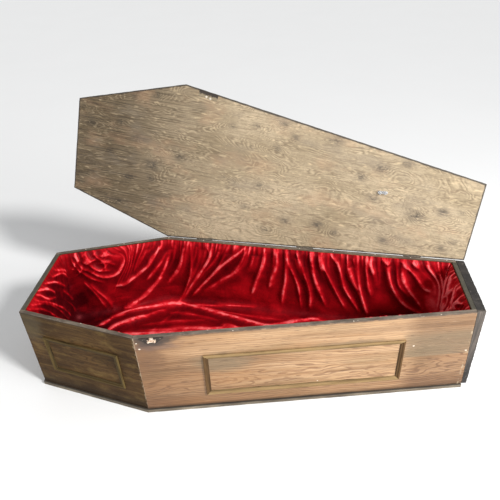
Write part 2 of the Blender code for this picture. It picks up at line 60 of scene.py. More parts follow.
# A plain pale floor under soft studio light: a broad key from the right and above, a weak fill from
# the viewer's side and an even pale surround.
class Paint:
    """One material, with short ways to add nodes to it. Its field is where its patterns are read: the
    grain of a worn board, or else the object's own coordinates. Its colour is built up layer by layer."""

    def __init__(self, name, roughness=0.5, metallic=0.0, grain=True):
        self.material = bpy.data.materials.new(name)
        self.material.use_nodes = True
        self.tree = self.material.node_tree
        self.shader = self.tree.nodes["Principled BSDF"]
        self.shader.inputs["Roughness"].default_value = roughness
        self.shader.inputs["Metallic"].default_value = metallic
        if grain:
            self.field = self.attribute("grain", "Vector")
        else:
            self.field = self.add("ShaderNodeTexCoord").outputs["Object"]

    def put(self, socket, value):
        if isinstance(value, bpy.types.NodeSocket):
            self.tree.links.new(value, socket)
        else:
            socket.default_value = ink(value) if isinstance(value, str) else value

    def add(self, kind, inputs=None, **settings):
        node = self.tree.nodes.new(kind)
        for key, value in settings.items():
            setattr(node, key, value)
        for key, value in (inputs or {}).items():
            self.put(node.inputs[key], value)
        return node

    def attribute(self, name, output="Fac"):
        return self.add("ShaderNodeAttribute", attribute_name=name).outputs[output]

    def maths(self, operation, *values, clamp=False):
        inputs = dict(enumerate(values))
        return self.add("ShaderNodeMath", inputs, operation=operation, use_clamp=clamp).outputs[0]

    def times(self, *values, clamp=False):
        return self.maths("MULTIPLY", *values, clamp=clamp)

    def plus(self, *values):
        return self.maths("ADD", *values)

    def minus(self, *values):
        return self.maths("SUBTRACT", *values)

    def most(self, *values):
        return self.maths("MAXIMUM", *values)

    def total(self, value, *terms):
        """The value with each term added, times its weight."""
        for term, weight in terms:
            value = self.plus(value, self.times(term, weight))
        return value

    def centred(self, value):
        return self.minus(value, 0.5)

    def waves(self, value, length):
        """A sine wave of the given length along the value."""
        return self.maths("SINE", self.times(value, 2 * math.pi / length))

    def vector(self, operation, *values):
        node = self.add("ShaderNodeVectorMath", dict(enumerate(values)), operation=operation)
        return node.outputs["Value" if operation in ("LENGTH", "DOT_PRODUCT") else "Vector"]

    def parts(self, vector=None):
        return self.add("ShaderNodeSeparateXYZ", {0: vector or self.field}).outputs

    def mix(self, amount, first, second, blend="MIX"):
        inputs = {0: amount, 6: first, 7: second}
        return self.add("ShaderNodeMix", inputs, data_type="RGBA", blend_type=blend).outputs[2]

    def lay(self, amount, tone, share=None, blend="MIX"):
        """Lays a tone over the colour so far, as strongly as the amount and its share say."""
        amount = amount if share is None else self.times(amount, share)
        self.colour = self.mix(amount, self.colour, tone, blend)

    def ramp(self, value, low, high, first=0.0, last=1.0):
        """Turns low..high into first..last with soft ends."""
        inputs = dict(enumerate((value, low, high, first, last)))
        return self.add("ShaderNodeMapRange", inputs, interpolation_type="SMOOTHSTEP").outputs[0]

    def stain(self, value, low, high, most, tone):
        """Lays a tone where the value goes from low to high, most strongly at high."""
        self.lay(self.ramp(value, low, high, 0.0, most), tone)

    def colours(self, value, *stops):
        node = self.add("ShaderNodeValToRGB", {0: value})
        elements = node.color_ramp.elements
        for index, (place, colour) in enumerate(stops):
            element = elements[index] if index < 2 else elements.new(place)
            element.position = place
            element.color = ink(colour)
        return node.outputs[0]

    def noise(self, stretch, detail=3.0, roughness=0.55, distortion=0.0, shift=0.0, vector=None):
        """Cloudy noise. The stretch is how fine it is on each axis, and two numbers stand for x and y = z."""
        if len(stretch) == 2:
            stretch = (stretch[0], stretch[1], stretch[1])
        inputs = {0: vector or self.field, "Scale": stretch, "Location": (shift, shift, shift)}
        scaled = self.add("ShaderNodeMapping", inputs).outputs[0]
        inputs = {"Vector": scaled, "Scale": 1.0, "Detail": detail, "Roughness": roughness}
        return self.add("ShaderNodeTexNoise", {**inputs, "Distortion": distortion}).outputs["Fac"]

    def patches(self, stretch, low, high, first=0.0, last=1.0, **kind):
        """Noise that is first where it is under low and last where it is over high."""
        return self.ramp(self.noise(stretch, **kind), low, high, first, last)

    def spot(self, place, size, ragged=0.35, grain=(14, 40)):
        """A soft-edged patch at a place, 1 in its middle, with a ragged rim."""
        away = self.vector("MULTIPLY", self.vector("SUBTRACT", self.field, place), [1 / s for s in size])
        rough = self.times(self.centred(self.noise(grain)), 2 * ragged)
        return self.ramp(self.plus(self.vector("LENGTH", away), rough), 1.0, 0.35)

    def finish(self, height=None, roughness=None, depth=0.0004):
        self.put(self.shader.inputs["Base Color"], self.colour)
        if roughness is not None:
            self.put(self.shader.inputs["Roughness"], roughness)
        if height is not None:
            bump = self.add("ShaderNodeBump", {"Strength": 1.0, "Distance": depth, "Height": height})
            self.put(self.shader.inputs["Normal"], bump.outputs[0])
        return self.material


def ink(code):
    """The linear colour of a screen colour written as RRGGBB."""
    parts = [int(code[i : i + 2], 16) / 255 for i in (0, 2, 4)]
    return [p / 12.92 if p <= 0.04045 else ((p + 0.055) / 1.055) ** 2.4 for p in parts] + [1.0]


floor_mesh = bpy.data.meshes.new("floor")
floor_mesh.from_pydata([(-30, -20, 0), (30, -20, 0), (30, 40, 0), (-30, 40, 0)], [], [(0, 1, 2, 3)])
floor = new_object("floor", floor_mesh)
paint = Paint("pale_floor", roughness=0.9, grain=False)
paint.colour = paint.mix(paint.noise((1.5, 1.5), detail=4), "fafaf9", "fdfdfc")
floor_mesh.materials.append(paint.finish())

world = bpy.data.worlds.new("surround")
world.use_nodes = True
world.node_tree.nodes["Background"].inputs["Color"].default_value = (0.97, 0.98, 1.0, 1)
world.node_tree.nodes["Background"].inputs["Strength"].default_value = 0.46
bpy.context.scene.world = world
bpy.context.scene.view_settings.view_transform = "Standard"


def add_light(name, kind, energy, location, target, **settings):
    data = bpy.data.lights.new(name, kind)
    data.energy = energy
    for key, value in settings.items():
        setattr(data, key, value)
    light = new_object(name, data)
    light.location = location
    light.rotation_euler = (Vector(target) - Vector(location)).to_track_quat("-Z", "Y").to_euler()


add_light("key", "SUN", 2.1, (3.6, -2.2, 3.4), (0, 0, 0.3), angle=math.radians(9))
add_light("side_box", "AREA", 75, (2.6, -1.5, 1.9), (0.2, 0, 0.4), shape="RECTANGLE", size=1.2, size_y=1.2)
add_light("fill", "AREA", 14, (-0.3, -2.6, 2.2), (0, 0, 0.4), shape="RECTANGLE", size=1.6, size_y=1.0)

# The side boards, stained softwood with the fibre running lengthwise. The long ones are the two boards
# from shoulder to foot and the short ones run from head to shoulder; their upper edges are the rim.
RIM = 0.443
LEAN = 0.0376
HEAD_NEAR, HEAD_FAR = Vector((-0.950, -0.220, RIM)), Vector((-0.950, 0.220, RIM))
SHOULDER_NEAR, SHOULDER_FAR = Vector((-0.436, -0.366, RIM)), Vector((-0.436, 0.366, RIM))
FOOT_NEAR, FOOT_FAR = Vector((0.950, -0.175, RIM)), Vector((0.950, 0.175, RIM))


class Face:
    """A board's outer face: its start on the rim, and unit vectors along it, down it and out of it."""

    def __init__(self, start, end, lean=LEAN):
        self.start = start
        self.along = (end - start).normalized()
        level = Vector((self.along.y, -self.along.x, 0))
        if level.dot(start + end) < 0:
            level.negate()
        self.out = Vector((level.x, level.y, -lean)).normalized()
        self.down = self.along.cross(self.out)
        if self.down.z > 0:
            self.down.negate()

    def turned(self):
        """The same face with the fibre running up and down."""
        other = Face(self.start, self.start + self.along)
        other.along, other.down, other.out = self.down, self.along, self.out
        return other


def distance_to_lines(points, lines):
    """The distance from each point to the nearest of the straight lines, each given by its two ends."""
    best = np.full(len(points), 9.0)
    for a, b in lines:
        run = b - a
        t = np.clip((points - a) @ run / max(run @ run, 1e-12), 0, 1)
        best = np.minimum(best, np.linalg.norm(points - (a + t[:, None] * run), axis=1))
    return best


def store(mesh, name, values, vector=False):
    """Keeps a number or a vector for each of the mesh's points."""
    kind, field = ("FLOAT_VECTOR", "vector") if vector else ("FLOAT", "value")
    flat = np.asarray(values, np.float32).ravel()
    mesh.attributes.new(name, kind, "POINT").data.foreach_set(field, flat)


def to_mesh(shape, name):
    """Writes a shape into a new mesh and lets the shape go."""
    mesh = bpy.data.meshes.new(name)
    shape.to_mesh(mesh)
    shape.free()
    return mesh


def worn_copy(node, face, bevel=0.0012, cell=0.02, wear=0.0007):
    """A copy of a CAD board with softened and slightly worn edges, which stands in for it. Its points
    carry grain (metres along the fibre, across it and below the face) and edge (metres to an edge)."""
    shape = bmesh.new()
    shape.from_mesh(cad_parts[node].data)
    bmesh.ops.remove_doubles(shape, verts=shape.verts, dist=0.00003)
    bmesh.ops.dissolve_limit(shape, angle_limit=0.01, verts=shape.verts, edges=shape.edges)
    sharp = [e for e in shape.edges if len(e.link_faces) == 2 and e.calc_face_angle_signed(0) > 0.5]
    lines = [[np.array(v.co) for v in e.verts] for e in sharp]
    bmesh.ops.bevel(
        shape, geom=sharp, offset=bevel, segments=2, profile=0.6, affect="EDGES", clamp_overlap=True
    )
    for axis in (face.along, face.down):
        places = [(v.co - face.start).dot(axis) for v in shape.verts]
        for place in np.arange(min(places) + cell / 2, max(places), cell):
            everything = shape.verts[:] + shape.edges[:] + shape.faces[:]
            bmesh.ops.bisect_plane(
                shape, geom=everything, dist=1e-5, plane_co=face.start + axis * place, plane_no=axis
            )
    bmesh.ops.triangulate(shape, faces=[f for f in shape.faces if len(f.verts) > 4])
    shape.normal_update()
    points = np.array([v.co for v in shape.verts])
    near = distance_to_lines(points, lines)
    seed = Vector((len(node), len(lines), 3.1))
    for vertex, gap in zip(shape.verts, near):
        if gap < 2.5 * bevel:
            bite = noise.noise(vertex.co * 45 + seed) + 0.6 * noise.noise(vertex.co * 160)
            vertex.co -= vertex.normal * wear * max(0.0, bite + 0.25)
    mesh = to_mesh(shape, node + "_worn")
    relative = points - np.array(face.start)
    frames = np.stack([relative @ np.array(a) for a in (face.along, face.down, -face.out)], 1)
    store(mesh, "grain", frames, vector=True)
    store(mesh, "edge", near)
    piece = new_object(node + "_worn", mesh)
    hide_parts(node)
    return piece


def hand_over(piece, material, body):
    """Gives a finished piece its material and its body."""
    piece.data.materials.clear()
    piece.data.materials.append(material)
    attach(piece, body)
    return piece


def softwood(paint, pith, tilt, pale, middle, dark, spacing=0.0062, shift=0.0, figure=0.52):
    """Plain-sawn softwood: growth rings about a pith that lies at a slant behind the face.
    Sets the paint's colour and returns the height of its late wood."""
    x, y, z = paint.parts()
    across = paint.minus(y, pith[0])
    deep = paint.plus(paint.plus(paint.times(x, tilt), pith[1]), z)
    deep = paint.total(deep, (paint.centred(paint.noise((2.2, 9), shift=shift)), 0.16))
    ring = paint.vector("LENGTH", paint.add("ShaderNodeCombineXYZ", {1: across, 2: deep}).outputs[0])
    ring = paint.total(ring, (paint.noise((11, 26), detail=2, shift=shift + 5), 0.006))
    late = paint.ramp(paint.waves(ring, spacing), 0.15, 0.98)
    fibre = paint.noise((7, 420), shift=shift)
    streak = paint.noise((2.5, 60), detail=4, shift=shift + 2)
    paint.colour = paint.colours(streak, (0.30, middle), (0.68, pale))
    paint.lay(paint.times(late, figure), dark)
    paint.stain(fibre, 0.35, 0.75, 0.35, dark)
    return paint.plus(paint.times(late, 0.35), paint.times(fibre, 0.5))


# How far a long board runs along the rim, in metres
LONG_LENGTH = 1.362
# Where the long boards are chipped down to pale wood: metres along, metres down and the chip's size
CHIPS = [
    (1.128, 0.164, 0.006), (1.357, 0.214, 0.006), (0.012, 0.030, 0.005), (0.020, 0.062, 0.006),
    (0.735, 0.330, 0.004),
]


def lay_rim(paint, rub):
    """Lays on a board's upper edge: grey with dirt, and scuffed pale here and there."""
    _, y, z = paint.parts()
    top = paint.times(paint.ramp(y, 0.0016, 0.0006), paint.ramp(z, -0.01, 0.0))
    dirt = paint.noise((10, 40), detail=5, roughness=0.65, shift=1)
    tone = paint.colours(dirt, (0.30, "453c34"), (0.48, "6c6156"), (0.62, "85796b"), (0.78, "a39787"))
    tone = paint.mix(paint.ramp(rub, 0.3, 0.7, 0.0, 0.4), tone, "4b4239")
    scuff = paint.patches((26, 70), 0.62, 0.70, detail=5, shift=4)
    paint.lay(top, paint.mix(paint.times(scuff, 0.9), tone, "d6cdbf"))


def long_board_paint(name, catch):
    """The long board: warm tan with cathedral figure, grey where it is dirty, and dark round the catch."""
    paint = Paint(name)
    x, y, _ = paint.parts()
    height = softwood(
        paint, (0.285, 0.030), 0.030, "d2ad85", "b28a60", "6d4426", spacing=0.0100,
        shift=0.0 if catch else 7.0, figure=paint.ramp(y, 0.09, 0.15, 0.28, 0.56)
    )
    blotch = paint.noise((2.0, 7), detail=4)
    paint.stain(blotch, 0.46, 0.76, 0.6, "86704f")
    warm = paint.patches((1.6, 5), 0.48, 0.75, 0.0, 0.5, shift=3)
    paint.lay(warm, "c8935f")
    brown = paint.patches((1.3, 24), 0.50, 0.68, 0.0, 0.45, detail=5, roughness=0.6, shift=27)
    paint.lay(brown, "7c5b3b")
    middle = paint.times(paint.ramp(x, 0.80, 0.35), paint.ramp(y, 0.10, 0.16))
    paint.lay(middle, "e0dcd6", blend="MULTIPLY")
    # both ends are darker than the middle, the one at the shoulder browner
    left = paint.ramp(paint.plus(x, paint.times(blotch, 0.2)), 0.50, 0.08)
    paint.lay(left, "d9cbbd", blend="MULTIPLY")
    right = paint.ramp(paint.minus(x, paint.times(blotch, 0.1)), 1.02, 1.12)
    paint.lay(right, "cbc3bb", blend="MULTIPLY")
    low = paint.ramp(y, 0.34, 0.37)
    paint.lay(low, "e0d8d0", blend="MULTIPLY")
    # grey-olive weathering high up, over the panel, and beside it towards the foot
    patch = paint.times(paint.ramp(x, 1.06, 1.12), paint.ramp(y, 0.06, 0.12))
    below = paint.plus(0.242, paint.times(x, -0.012))
    patch = paint.times(patch, paint.ramp(y, paint.plus(below, 0.004), below, 0.0, 1.0))
    patch = paint.times(patch, paint.ramp(blotch, 0.25, 0.55, 0.5, 1.0))
    grey = paint.most(paint.spot((0.88, 0.128, 0), (0.27, 0.030, 1)), patch)
    grey = paint.most(grey, paint.spot((0.34, 0.17, 0), (0.16, 0.08, 1)))
    paint.lay(grey, "796a52", 0.62)
    if catch:
        # round the catch: brown, then a violet tinge, then a near-black patch just under the rim
        for place, size, ragged, amount, tone in (
            ((0.040, 0.095, 0), (0.10, 0.13, 1), 0.6, 0.6, "6b4a30"),
            ((0.085, 0.050, 0), (0.12, 0.035, 1), 0.5, 0.5, "6d5852"),
            ((0.078, 0.012, 0), (0.13, 0.058, 1), 0.5, 0.9, "3b302a"),
        ):
            paint.lay(paint.times(paint.spot(place, size, ragged), amount), tone)
    # short dark pores and dents, and dirt scraped lengthwise
    pores = paint.patches((16, 170), 0.57, 0.70, 0.0, 0.6, detail=4, shift=15)
    paint.lay(pores, "553823")
    scrape = paint.patches((9, 110), 0.62, 0.74, 0.0, 0.4, detail=5, shift=18)
    paint.lay(scrape, "e0bd93")
    # darker, rubbed patches just under the upper edge, painted shadow along the foot where the board meets
    # the base, and the worn pale arris at both ends
    rub = paint.noise((30, 30), detail=4, shift=9)
    rim = paint.ramp(y, 0.0105, 0.0035)
    # painted shadow along the foot of the board, over the base board
    base = paint.ramp(y, 0.405, 0.424)
    paint.lay(base, "4b3a2b", 0.75)
    paint.lay(paint.times(rim, paint.ramp(rub, 0.3, 0.6, 0.35, 0.9)), "54443a")
    first = paint.times(paint.ramp(x, 0.0065, 0.002), paint.ramp(rub, 0.38, 0.60, 0.1, 0.9))
    last = paint.ramp(x, LONG_LENGTH - 0.006, LONG_LENGTH - 0.002)
    last = paint.times(last, paint.ramp(rub, 0.50, 0.66, 0.0, 0.75))
    paint.lay(paint.most(first, last), "b8a487")
    chips = None
    for chip_x, chip_y, size in CHIPS:
        chip = paint.spot((chip_x, chip_y, 0), (size, size * 0.7, 1), ragged=0.5, grain=(150, 150))
        chips = chip if chips is None else paint.most(chips, chip)
    paint.lay(chips, "efe3cf")
    lay_rim(paint, rub)
    height = paint.total(height, (rub, 0.4), (pores, -0.8))
    return paint.finish(height, paint.ramp(blotch, 0.3, 0.8, 0.42, 0.62), depth=0.0006)


def head_board_paint(name):
    """The short board: the same wood in a darker olive brown, partly its stain and partly painted shade, as
    these boards face away from the light; darker towards the base.
    """
    paint = Paint(name)
    x, y, _ = paint.parts()
    # darker wood tones than the long boards, partly painted shade for these boards turning away from the
    # light
    height = softwood(paint, (0.15, 0.05), 0.05, "6b4f2c", "4c341b", "2e1d0e", shift=11.0)
    blotch = paint.noise((5, 9), detail=4, shift=4)
    paint.stain(blotch, 0.38, 0.70, 0.75, "38291a")
    streak = paint.patches((4, 70), 0.50, 0.68, 0.0, 0.28, detail=5, shift=8)
    paint.lay(streak, "876a3c")
    cloud = paint.noise((11, 17), detail=5, roughness=0.6, shift=13)
    paint.stain(cloud, 0.50, 0.72, 0.55, "7f663a")
    paint.stain(cloud, 0.46, 0.28, 0.55, "2a1f12")
    grey = paint.spot((0.02, 0.05, 0), (0.10, 0.16, 1))
    paint.lay(grey, "5c5240", 0.6)
    rub = paint.noise((30, 30), detail=4, shift=9)
    paint.stain(y, 0.33, 0.424, 0.75, "241b13")
    paint.stain(y, 0.0105, 0.0035, 0.7, "3c332a")
    worn = paint.times(paint.ramp(x, 0.526, 0.532), paint.ramp(rub, 0.46, 0.64, 0.0, 0.8))
    paint.lay(worn, "a8977c")
    lay_rim(paint, rub)
    height = paint.total(height, (rub, 0.4))
    paint.shader.inputs["Specular IOR Level"].default_value = 0.1
    return paint.finish(height, paint.ramp(blotch, 0.3, 0.8, 0.55, 0.7), depth=0.0006)


faces = {
    "side_near": Face(SHOULDER_NEAR, FOOT_NEAR),
    "side_far": Face(SHOULDER_FAR, FOOT_FAR),
    "head_side_near": Face(HEAD_NEAR, SHOULDER_NEAR),
    "head_side_far": Face(HEAD_FAR, SHOULDER_FAR),
}
for node, face in faces.items():
    side = node.split("_")[-1]
    if node.startswith("head"):
        board_paint = head_board_paint("head_board_" + side)
    else:
        board_paint = long_board_paint("long_board_" + side, side == "near")
    hand_over(worn_copy(node, face), board_paint, "box")

# The two end boards stand between the sides, of the same wood. The foot one shows only as a grey-green
# rim inside the dark foot board.
paint = Paint("end_boards")
height = softwood(paint, (0.2, 0.04), 0.05, "8a7253", "6d573c", "4d3a26", shift=21.0)
blotch = paint.noise((8, 14), detail=4)
paint.stain(blotch, 0.4, 0.75, 0.6, "524836")
depth = paint.parts()[1]
rub = paint.noise((40, 40), detail=4)
paint.lay(paint.ramp(depth, 0.0016, 0.0006), paint.mix(rub, "302d25", "5b574a"))
end_paint = paint.finish(height, 0.6, depth=0.0005)
head_face = Face(HEAD_NEAR, HEAD_FAR, lean=0.0)
foot_face = Face(FOOT_NEAR, FOOT_FAR, lean=0.0)
for node, face in (("head_end", head_face), ("foot_end", foot_face)):
    hand_over(worn_copy(node, face), end_paint, "box")

# The thick board outside the foot end, stained nearly black. Its upper edge is rough and chipped and
# its near end shows the fibre running up and down.
paint = Paint("dark_foot_wood", roughness=0.7)
edge = paint.attribute("edge")
fibre = paint.noise((10, 300), detail=4)
blotch = paint.noise((18, 18), detail=5)
paint.colour = paint.colours(blotch, (0.35, "1d1b1a"), (0.55, "2b2826"), (0.75, "3c3733"))
paint.stain(fibre, 0.45, 0.7, 0.4, "4a433c")
chip = paint.patches((60, 60), 0.60, 0.68, detail=4, shift=3)
chip = paint.times(paint.ramp(edge, 0.0035, 0.0008), chip)
paint.lay(chip, "857d72", 0.7)
side_grain = paint.noise((6, 130), detail=4, shift=7)
turned_end = paint.ramp(paint.parts()[1], 0.012, 0.004)
face_tone = paint.colours(side_grain, (0.30, "3d3731"), (0.52, "574e47"), (0.72, "766b62"))
paint.lay(turned_end, face_tone, 0.95)
height = paint.plus(fibre, paint.times(blotch, 1.5))
foot_paint = paint.finish(height, depth=0.0009)
foot_board = worn_copy("foot_board", foot_face.turned(), bevel=0.0022, cell=0.008, wear=0.0022)
hand_over(foot_board, foot_paint, "box")

# The base board under the walls, raw plywood with grey, dirty edges that stand out below the walls, and a
# painted shadow along their top, under the walls.
PLY = 0.0045
paint = Paint("base_plywood", roughness=0.75)
below = paint.parts()[2]
plies = paint.waves(below, PLY)
dirt = paint.noise((9, 9, 30), detail=5)
paint.colour = paint.colours(dirt, (0.32, "4b4337"), (0.52, "766c5c"), (0.72, "9d937f"))
paint.stain(plies, 0.2, 0.9, 0.45, "6f5f4c")
# painted shadow along the top of the edge, in the gap under the walls
paint.stain(below, 0.0035, 0.0005, 0.85, "2d2620")
base_paint = paint.finish(paint.plus(dirt, paint.times(plies, 0.3)), depth=0.0006)
base_face = Face(HEAD_NEAR, FOOT_NEAR)
base_face.start = Vector((-0.95, 0, 0.018))
base_face.along, base_face.down, base_face.out = Vector((1, 0, 0)), Vector((0, -1, 0)), Vector((0, 0, 1))
base_piece = worn_copy("base_board", base_face, bevel=0.0015, cell=0.03, wear=0.0012)
hand_over(base_piece, base_paint, "box")

# The mitred strips that frame a plain panel on each side board: pale lengthwise and darker in the quirks of
# their section.
# The uprights are painted dark as shade for the way the light falls on their upright fibre.
def strip_paint(name, pale, dark, groove):
    paint = Paint(name)
    edge = paint.attribute("edge")
    raised = paint.parts()[2]
    streak = paint.noise((5, 240), detail=4)
    blotch = paint.noise((12, 30), detail=4)
    paint.colour = paint.colours(streak, (0.32, dark), (0.68, pale))
    paint.stain(blotch, 0.45, 0.75, 0.5, dark)
    low = paint.ramp(raised, -0.0042, -0.0018)
    paint.lay(low, groove, 0.85)
    worn = paint.times(paint.ramp(edge, 0.0016, 0.0004), paint.ramp(blotch, 0.35, 0.55))
    paint.lay(worn, pale, 0.6)
    paint.shader.inputs["Specular IOR Level"].default_value = 0.15
    return paint.finish(streak, 0.7, depth=0.0004)


strip_paints = {
    ("side", "level"): strip_paint("strip_level", "a3885f", "6f5839", "35271a"),
    # the uprights' darker tones are painted shade
    ("side", "upright"): strip_paint("strip_upright", "6e5334", "412e1b", "281c12"),
    # the head strips are darker, partly painted shade as on the head boards
    ("head", "level"): strip_paint("strip_head_level", "5e4c2c", "33270f", "1a130a"),
    ("head", "upright"): strip_paint("strip_head_upright", "6a5731", "372a14", "1a130a"),
}
for board, face in faces.items():
    kind = "head" if board.startswith("head") else "side"
    for place in ("top", "right", "bottom", "left"):
        run = "upright" if place in ("right", "left") else "level"
        strip_face = face.turned() if run == "upright" else face
        piece = worn_copy(f"{board}_moulding_{place}", strip_face, bevel=0.0005, cell=0.05, wear=0.0003)
        hand_over(piece, strip_paints[kind, run], "box")

# The lining: one sheet of crimson velvet, gathered under the rim, pulled down over the padding and
# tacked to the floor at a few points. Folds fall from the gathers towards each tack, and the cloth lies
# in long soft folds on the floor. The folds are modelled, since they follow the pull of the tacks.
# First the sheet's counts of columns and rows, and then its sizes in metres.
COLUMNS = 1060
WALL_ROWS = 58
FLOOR_ROWS = 24
HEM_ROWS = 3
BEND_ROWS = 6
FLOOR_TOP = 0.062
FLOOR_LOW = 0.0505
SHEET_TOP = 0.4405
HEM_TOP = 0.4415
RIM_GAP = 0.0045
MEAN_INSET = 0.0235
RIM_INSET_LESS = 0.0038
LARGEST_LIFT = 0.050
FOOT_LEAN = 0.033
BEND = 0.055
HEM_STEP = 0.0004
PUFF = 0.010


def plan_corners(depth):
    """The corners of the cloth's mean plan at a depth below the rim, from the far foot corner round."""
    lean = LEAN * depth
    inset = MEAN_INSET - RIM_INSET_LESS * max(0.0, 1 - depth / 0.030)
    lines = []
    for face in (faces["side_far"], faces["head_side_far"]):
        normal = np.array([face.out.x, face.out.y]) / math.hypot(face.out.x, face.out.y)
        start = np.array([face.start.x, face.start.y])
        lines.append((normal, normal @ start - inset - lean))
    foot = (np.array([1.0, 0.0]), 0.9125 - inset + FOOT_LEAN * depth)
    head = (np.array([-1.0, 0.0]), 0.9495 - inset)
    far = []
    for first, second in ((foot, lines[0]), (lines[0], lines[1]), (lines[1], head)):
        far.append(np.linalg.solve(np.stack([first[0], second[0]]), [first[1], second[1]]))
    near = [c * (1, -1) for c in reversed(far)]
    return np.array(far + near)


def closed_ring(corners):
    """The corners between two equal ends, which lie in the middle of the foot."""
    start = (corners[0] + corners[-1]) / 2
    return np.concatenate([[start], corners, [start]])


def closed_path(corners, shares):
    """Points on the closed polygon, at shares of the way from corner to corner."""
    ring = closed_ring(corners)
    index = shares.astype(int)
    part = (shares - index)[:, None]
    return ring[index] * (1 - part) + ring[index + 1] * part


def smooth_round(values, reach):
    """Averages a closed row of values with its neighbours, three times over, to round its corners."""
    for _ in range(3):
        padded = np.concatenate([values[-reach:], values, values[:reach]])
        total = np.cumsum(np.concatenate([np.zeros((1, values.shape[1])), padded]), axis=0)
        values = (total[2 * reach + 1 :] - total[: -2 * reach - 1]) / (2 * reach + 1)
    return values


lengths = np.linalg.norm(np.diff(closed_ring(plan_corners(0.0)), axis=0), axis=1)
reach = np.concatenate([[0], np.cumsum(lengths)])
PERIMETER = reach[-1]
column_reach = np.arange(COLUMNS) * PERIMETER / COLUMNS
index = np.clip(np.searchsorted(reach, column_reach, side="right") - 1, 0, 6)
shares = index + (column_reach - reach[index]) / lengths[index]

wall_depth = RIM - FLOOR_TOP
rows = []
for k in range(WALL_ROWS + 1):
    share = k / WALL_ROWS
    depth = RIM_GAP + (wall_depth - BEND - RIM_GAP) * (share**1.12)
    path = smooth_round(closed_path(plan_corners(depth), shares), 2 + int(7 * share))
    rows.append(np.column_stack([path, np.full(COLUMNS, RIM - depth)]))
junction = smooth_round(closed_path(plan_corners(wall_depth), shares), 9)
spine = np.column_stack([np.clip(junction[:, 0] * 0.86, -0.74, 0.76), np.zeros(COLUMNS)])
inward = spine - junction
span = np.linalg.norm(inward, axis=1, keepdims=True)
inward /= span
for k in range(1, BEND_ROWS + 1):
    turn = k / BEND_ROWS * math.pi / 2
    path = junction + inward * BEND * (1 - math.cos(turn))
    rows.append(np.column_stack([path, np.full(COLUMNS, FLOOR_TOP + BEND * (1 - math.sin(turn)))]))
for k in range(1, FLOOR_ROWS + 1):
    share = k / FLOOR_ROWS
    path = junction + inward * (BEND + (span - BEND) * share)
    rows.append(np.column_stack([path, np.full(COLUMNS, FLOOR_TOP)]))
base = np.array(rows)
ROWS = len(base)
junction_row = WALL_ROWS + BEND_ROWS // 2


def row_normals(grid):
    """The upward or inward facing normals of the closed grid."""
    around = np.roll(grid, -1, axis=1) - np.roll(grid, 1, axis=1)
    down = np.gradient(grid, axis=0)
    normal = np.cross(down, around)
    return normal / np.maximum(np.linalg.norm(normal, axis=2, keepdims=True), 1e-9)


normals = row_normals(base)
middle = base[ROWS // 3, 50]
if normals[ROWS // 3, 50] @ (np.array([0, 0, middle[2]]) - middle) < 0:
    normals = -normals
normals[-1] = (0, 0, 1)

height = np.zeros(base.shape[:2])
sideways = np.zeros_like(base)
flat_points = base.reshape(-1, 3)
flat_normals = normals.reshape(-1, 3)
flat_height = height.reshape(-1)
flat_sideways = sideways.reshape(-1, 3)


def curve_through(points, count):
    """A smooth line through the points, sampled at even steps of its parameter."""
    points = np.array(points, float)
    padded = np.concatenate([[2 * points[0] - points[1]], points, [2 * points[-1] - points[-2]]])
    found = []
    for t in np.linspace(0, len(points) - 1, count):
        i = min(int(t), len(points) - 2)
        u = t - i
        p = padded[i : i + 4]
        square = (2 * p[0] - 5 * p[1] + 4 * p[2] - p[3]) * u**2
        cube = (3 * p[1] - p[0] - 3 * p[2] + p[3]) * u**3
        found.append(0.5 * (2 * p[1] + (p[2] - p[0]) * u + square + cube))
    return np.array(found)


def fold(points, rise, width, ends=(0.4, 0.15), lean=0.3, pull=0.3, count=13):
    """Raises a soft round fold along a line on the sheet and draws the cloth beside it in.
    ends are the shares of the height left at the two ends, and lean makes one flank steeper."""
    line = curve_through(points, count)
    low, high = line.min(0) - 4 * width, line.max(0) + 4 * width
    near = np.where(((flat_points > low) & (flat_points < high)).all(1))[0]
    if not len(near):
        return
    p = flat_points[near]
    best = np.full(len(near), 9.0)
    along = np.zeros(len(near))
    offset = np.zeros((len(near), 3))
    for k in range(len(line) - 1):
        a, run = line[k], line[k + 1] - line[k]
        t = np.clip((p - a) @ run / max(run @ run, 1e-12), 0, 1)
        gap = p - (a + t[:, None] * run)
        gap -= (gap * flat_normals[near]).sum(1, keepdims=True) * flat_normals[near]
        distance = np.linalg.norm(gap, axis=1)
        closer = distance < best
        best[closer] = distance[closer]
        along[closer] = (k + t[closer]) / (len(line) - 1)
        offset[closer] = gap[closer]
    run = line[-1] - line[0]
    side = np.tanh((np.cross(flat_normals[near], run / np.linalg.norm(run)) * offset).sum(1) / (0.4 * width))
    swell = np.sin(np.pi * np.clip(along, 0, 1)) ** 0.8
    envelope = ends[0] * (1 - along) + ends[1] * along
    envelope = envelope + (1 - envelope) * swell
    reach = width * (0.6 + 0.55 * swell) * (1 + lean * side)
    crown = np.exp(-((best / reach) ** 2)) + 0.35 * np.exp(-((best / (2.1 * reach)) ** 2))
    flat_height[near] += rise / 1.35 * envelope * crown
    flat_sideways[near] -= pull * offset * (np.exp(-((best / (1.3 * reach)) ** 2)) * envelope)[:, None]


def rim_y(x):
    """How far out the far side's upper edge lies at x."""
    start, end = (SHOULDER_FAR, FOOT_FAR) if x > -0.436 else (HEAD_FAR, SHOULDER_FAR)
    share = (x - start.x) / (end.x - start.x)
    return start.y + (end.y - start.y) * share


def far_wall(x, z):
    """A point of the sheet on the far side at x and a height, as the rim's plan and the lean give it."""
    return (x, rim_y(x) - MEAN_INSET - LEAN * (RIM - z), z)


def read_folds(text):
    """Each row's height and width in millimetres, and then its points, turned into metres."""
    found = []
    for row in text.strip().split("\n"):
        rise, width, *line = (int(number) for number in row.split())
        found.append((rise, width, [(a / 1000, b / 1000) for a, b in zip(line[::2], line[1::2])]))
    return found


MM = 0.001
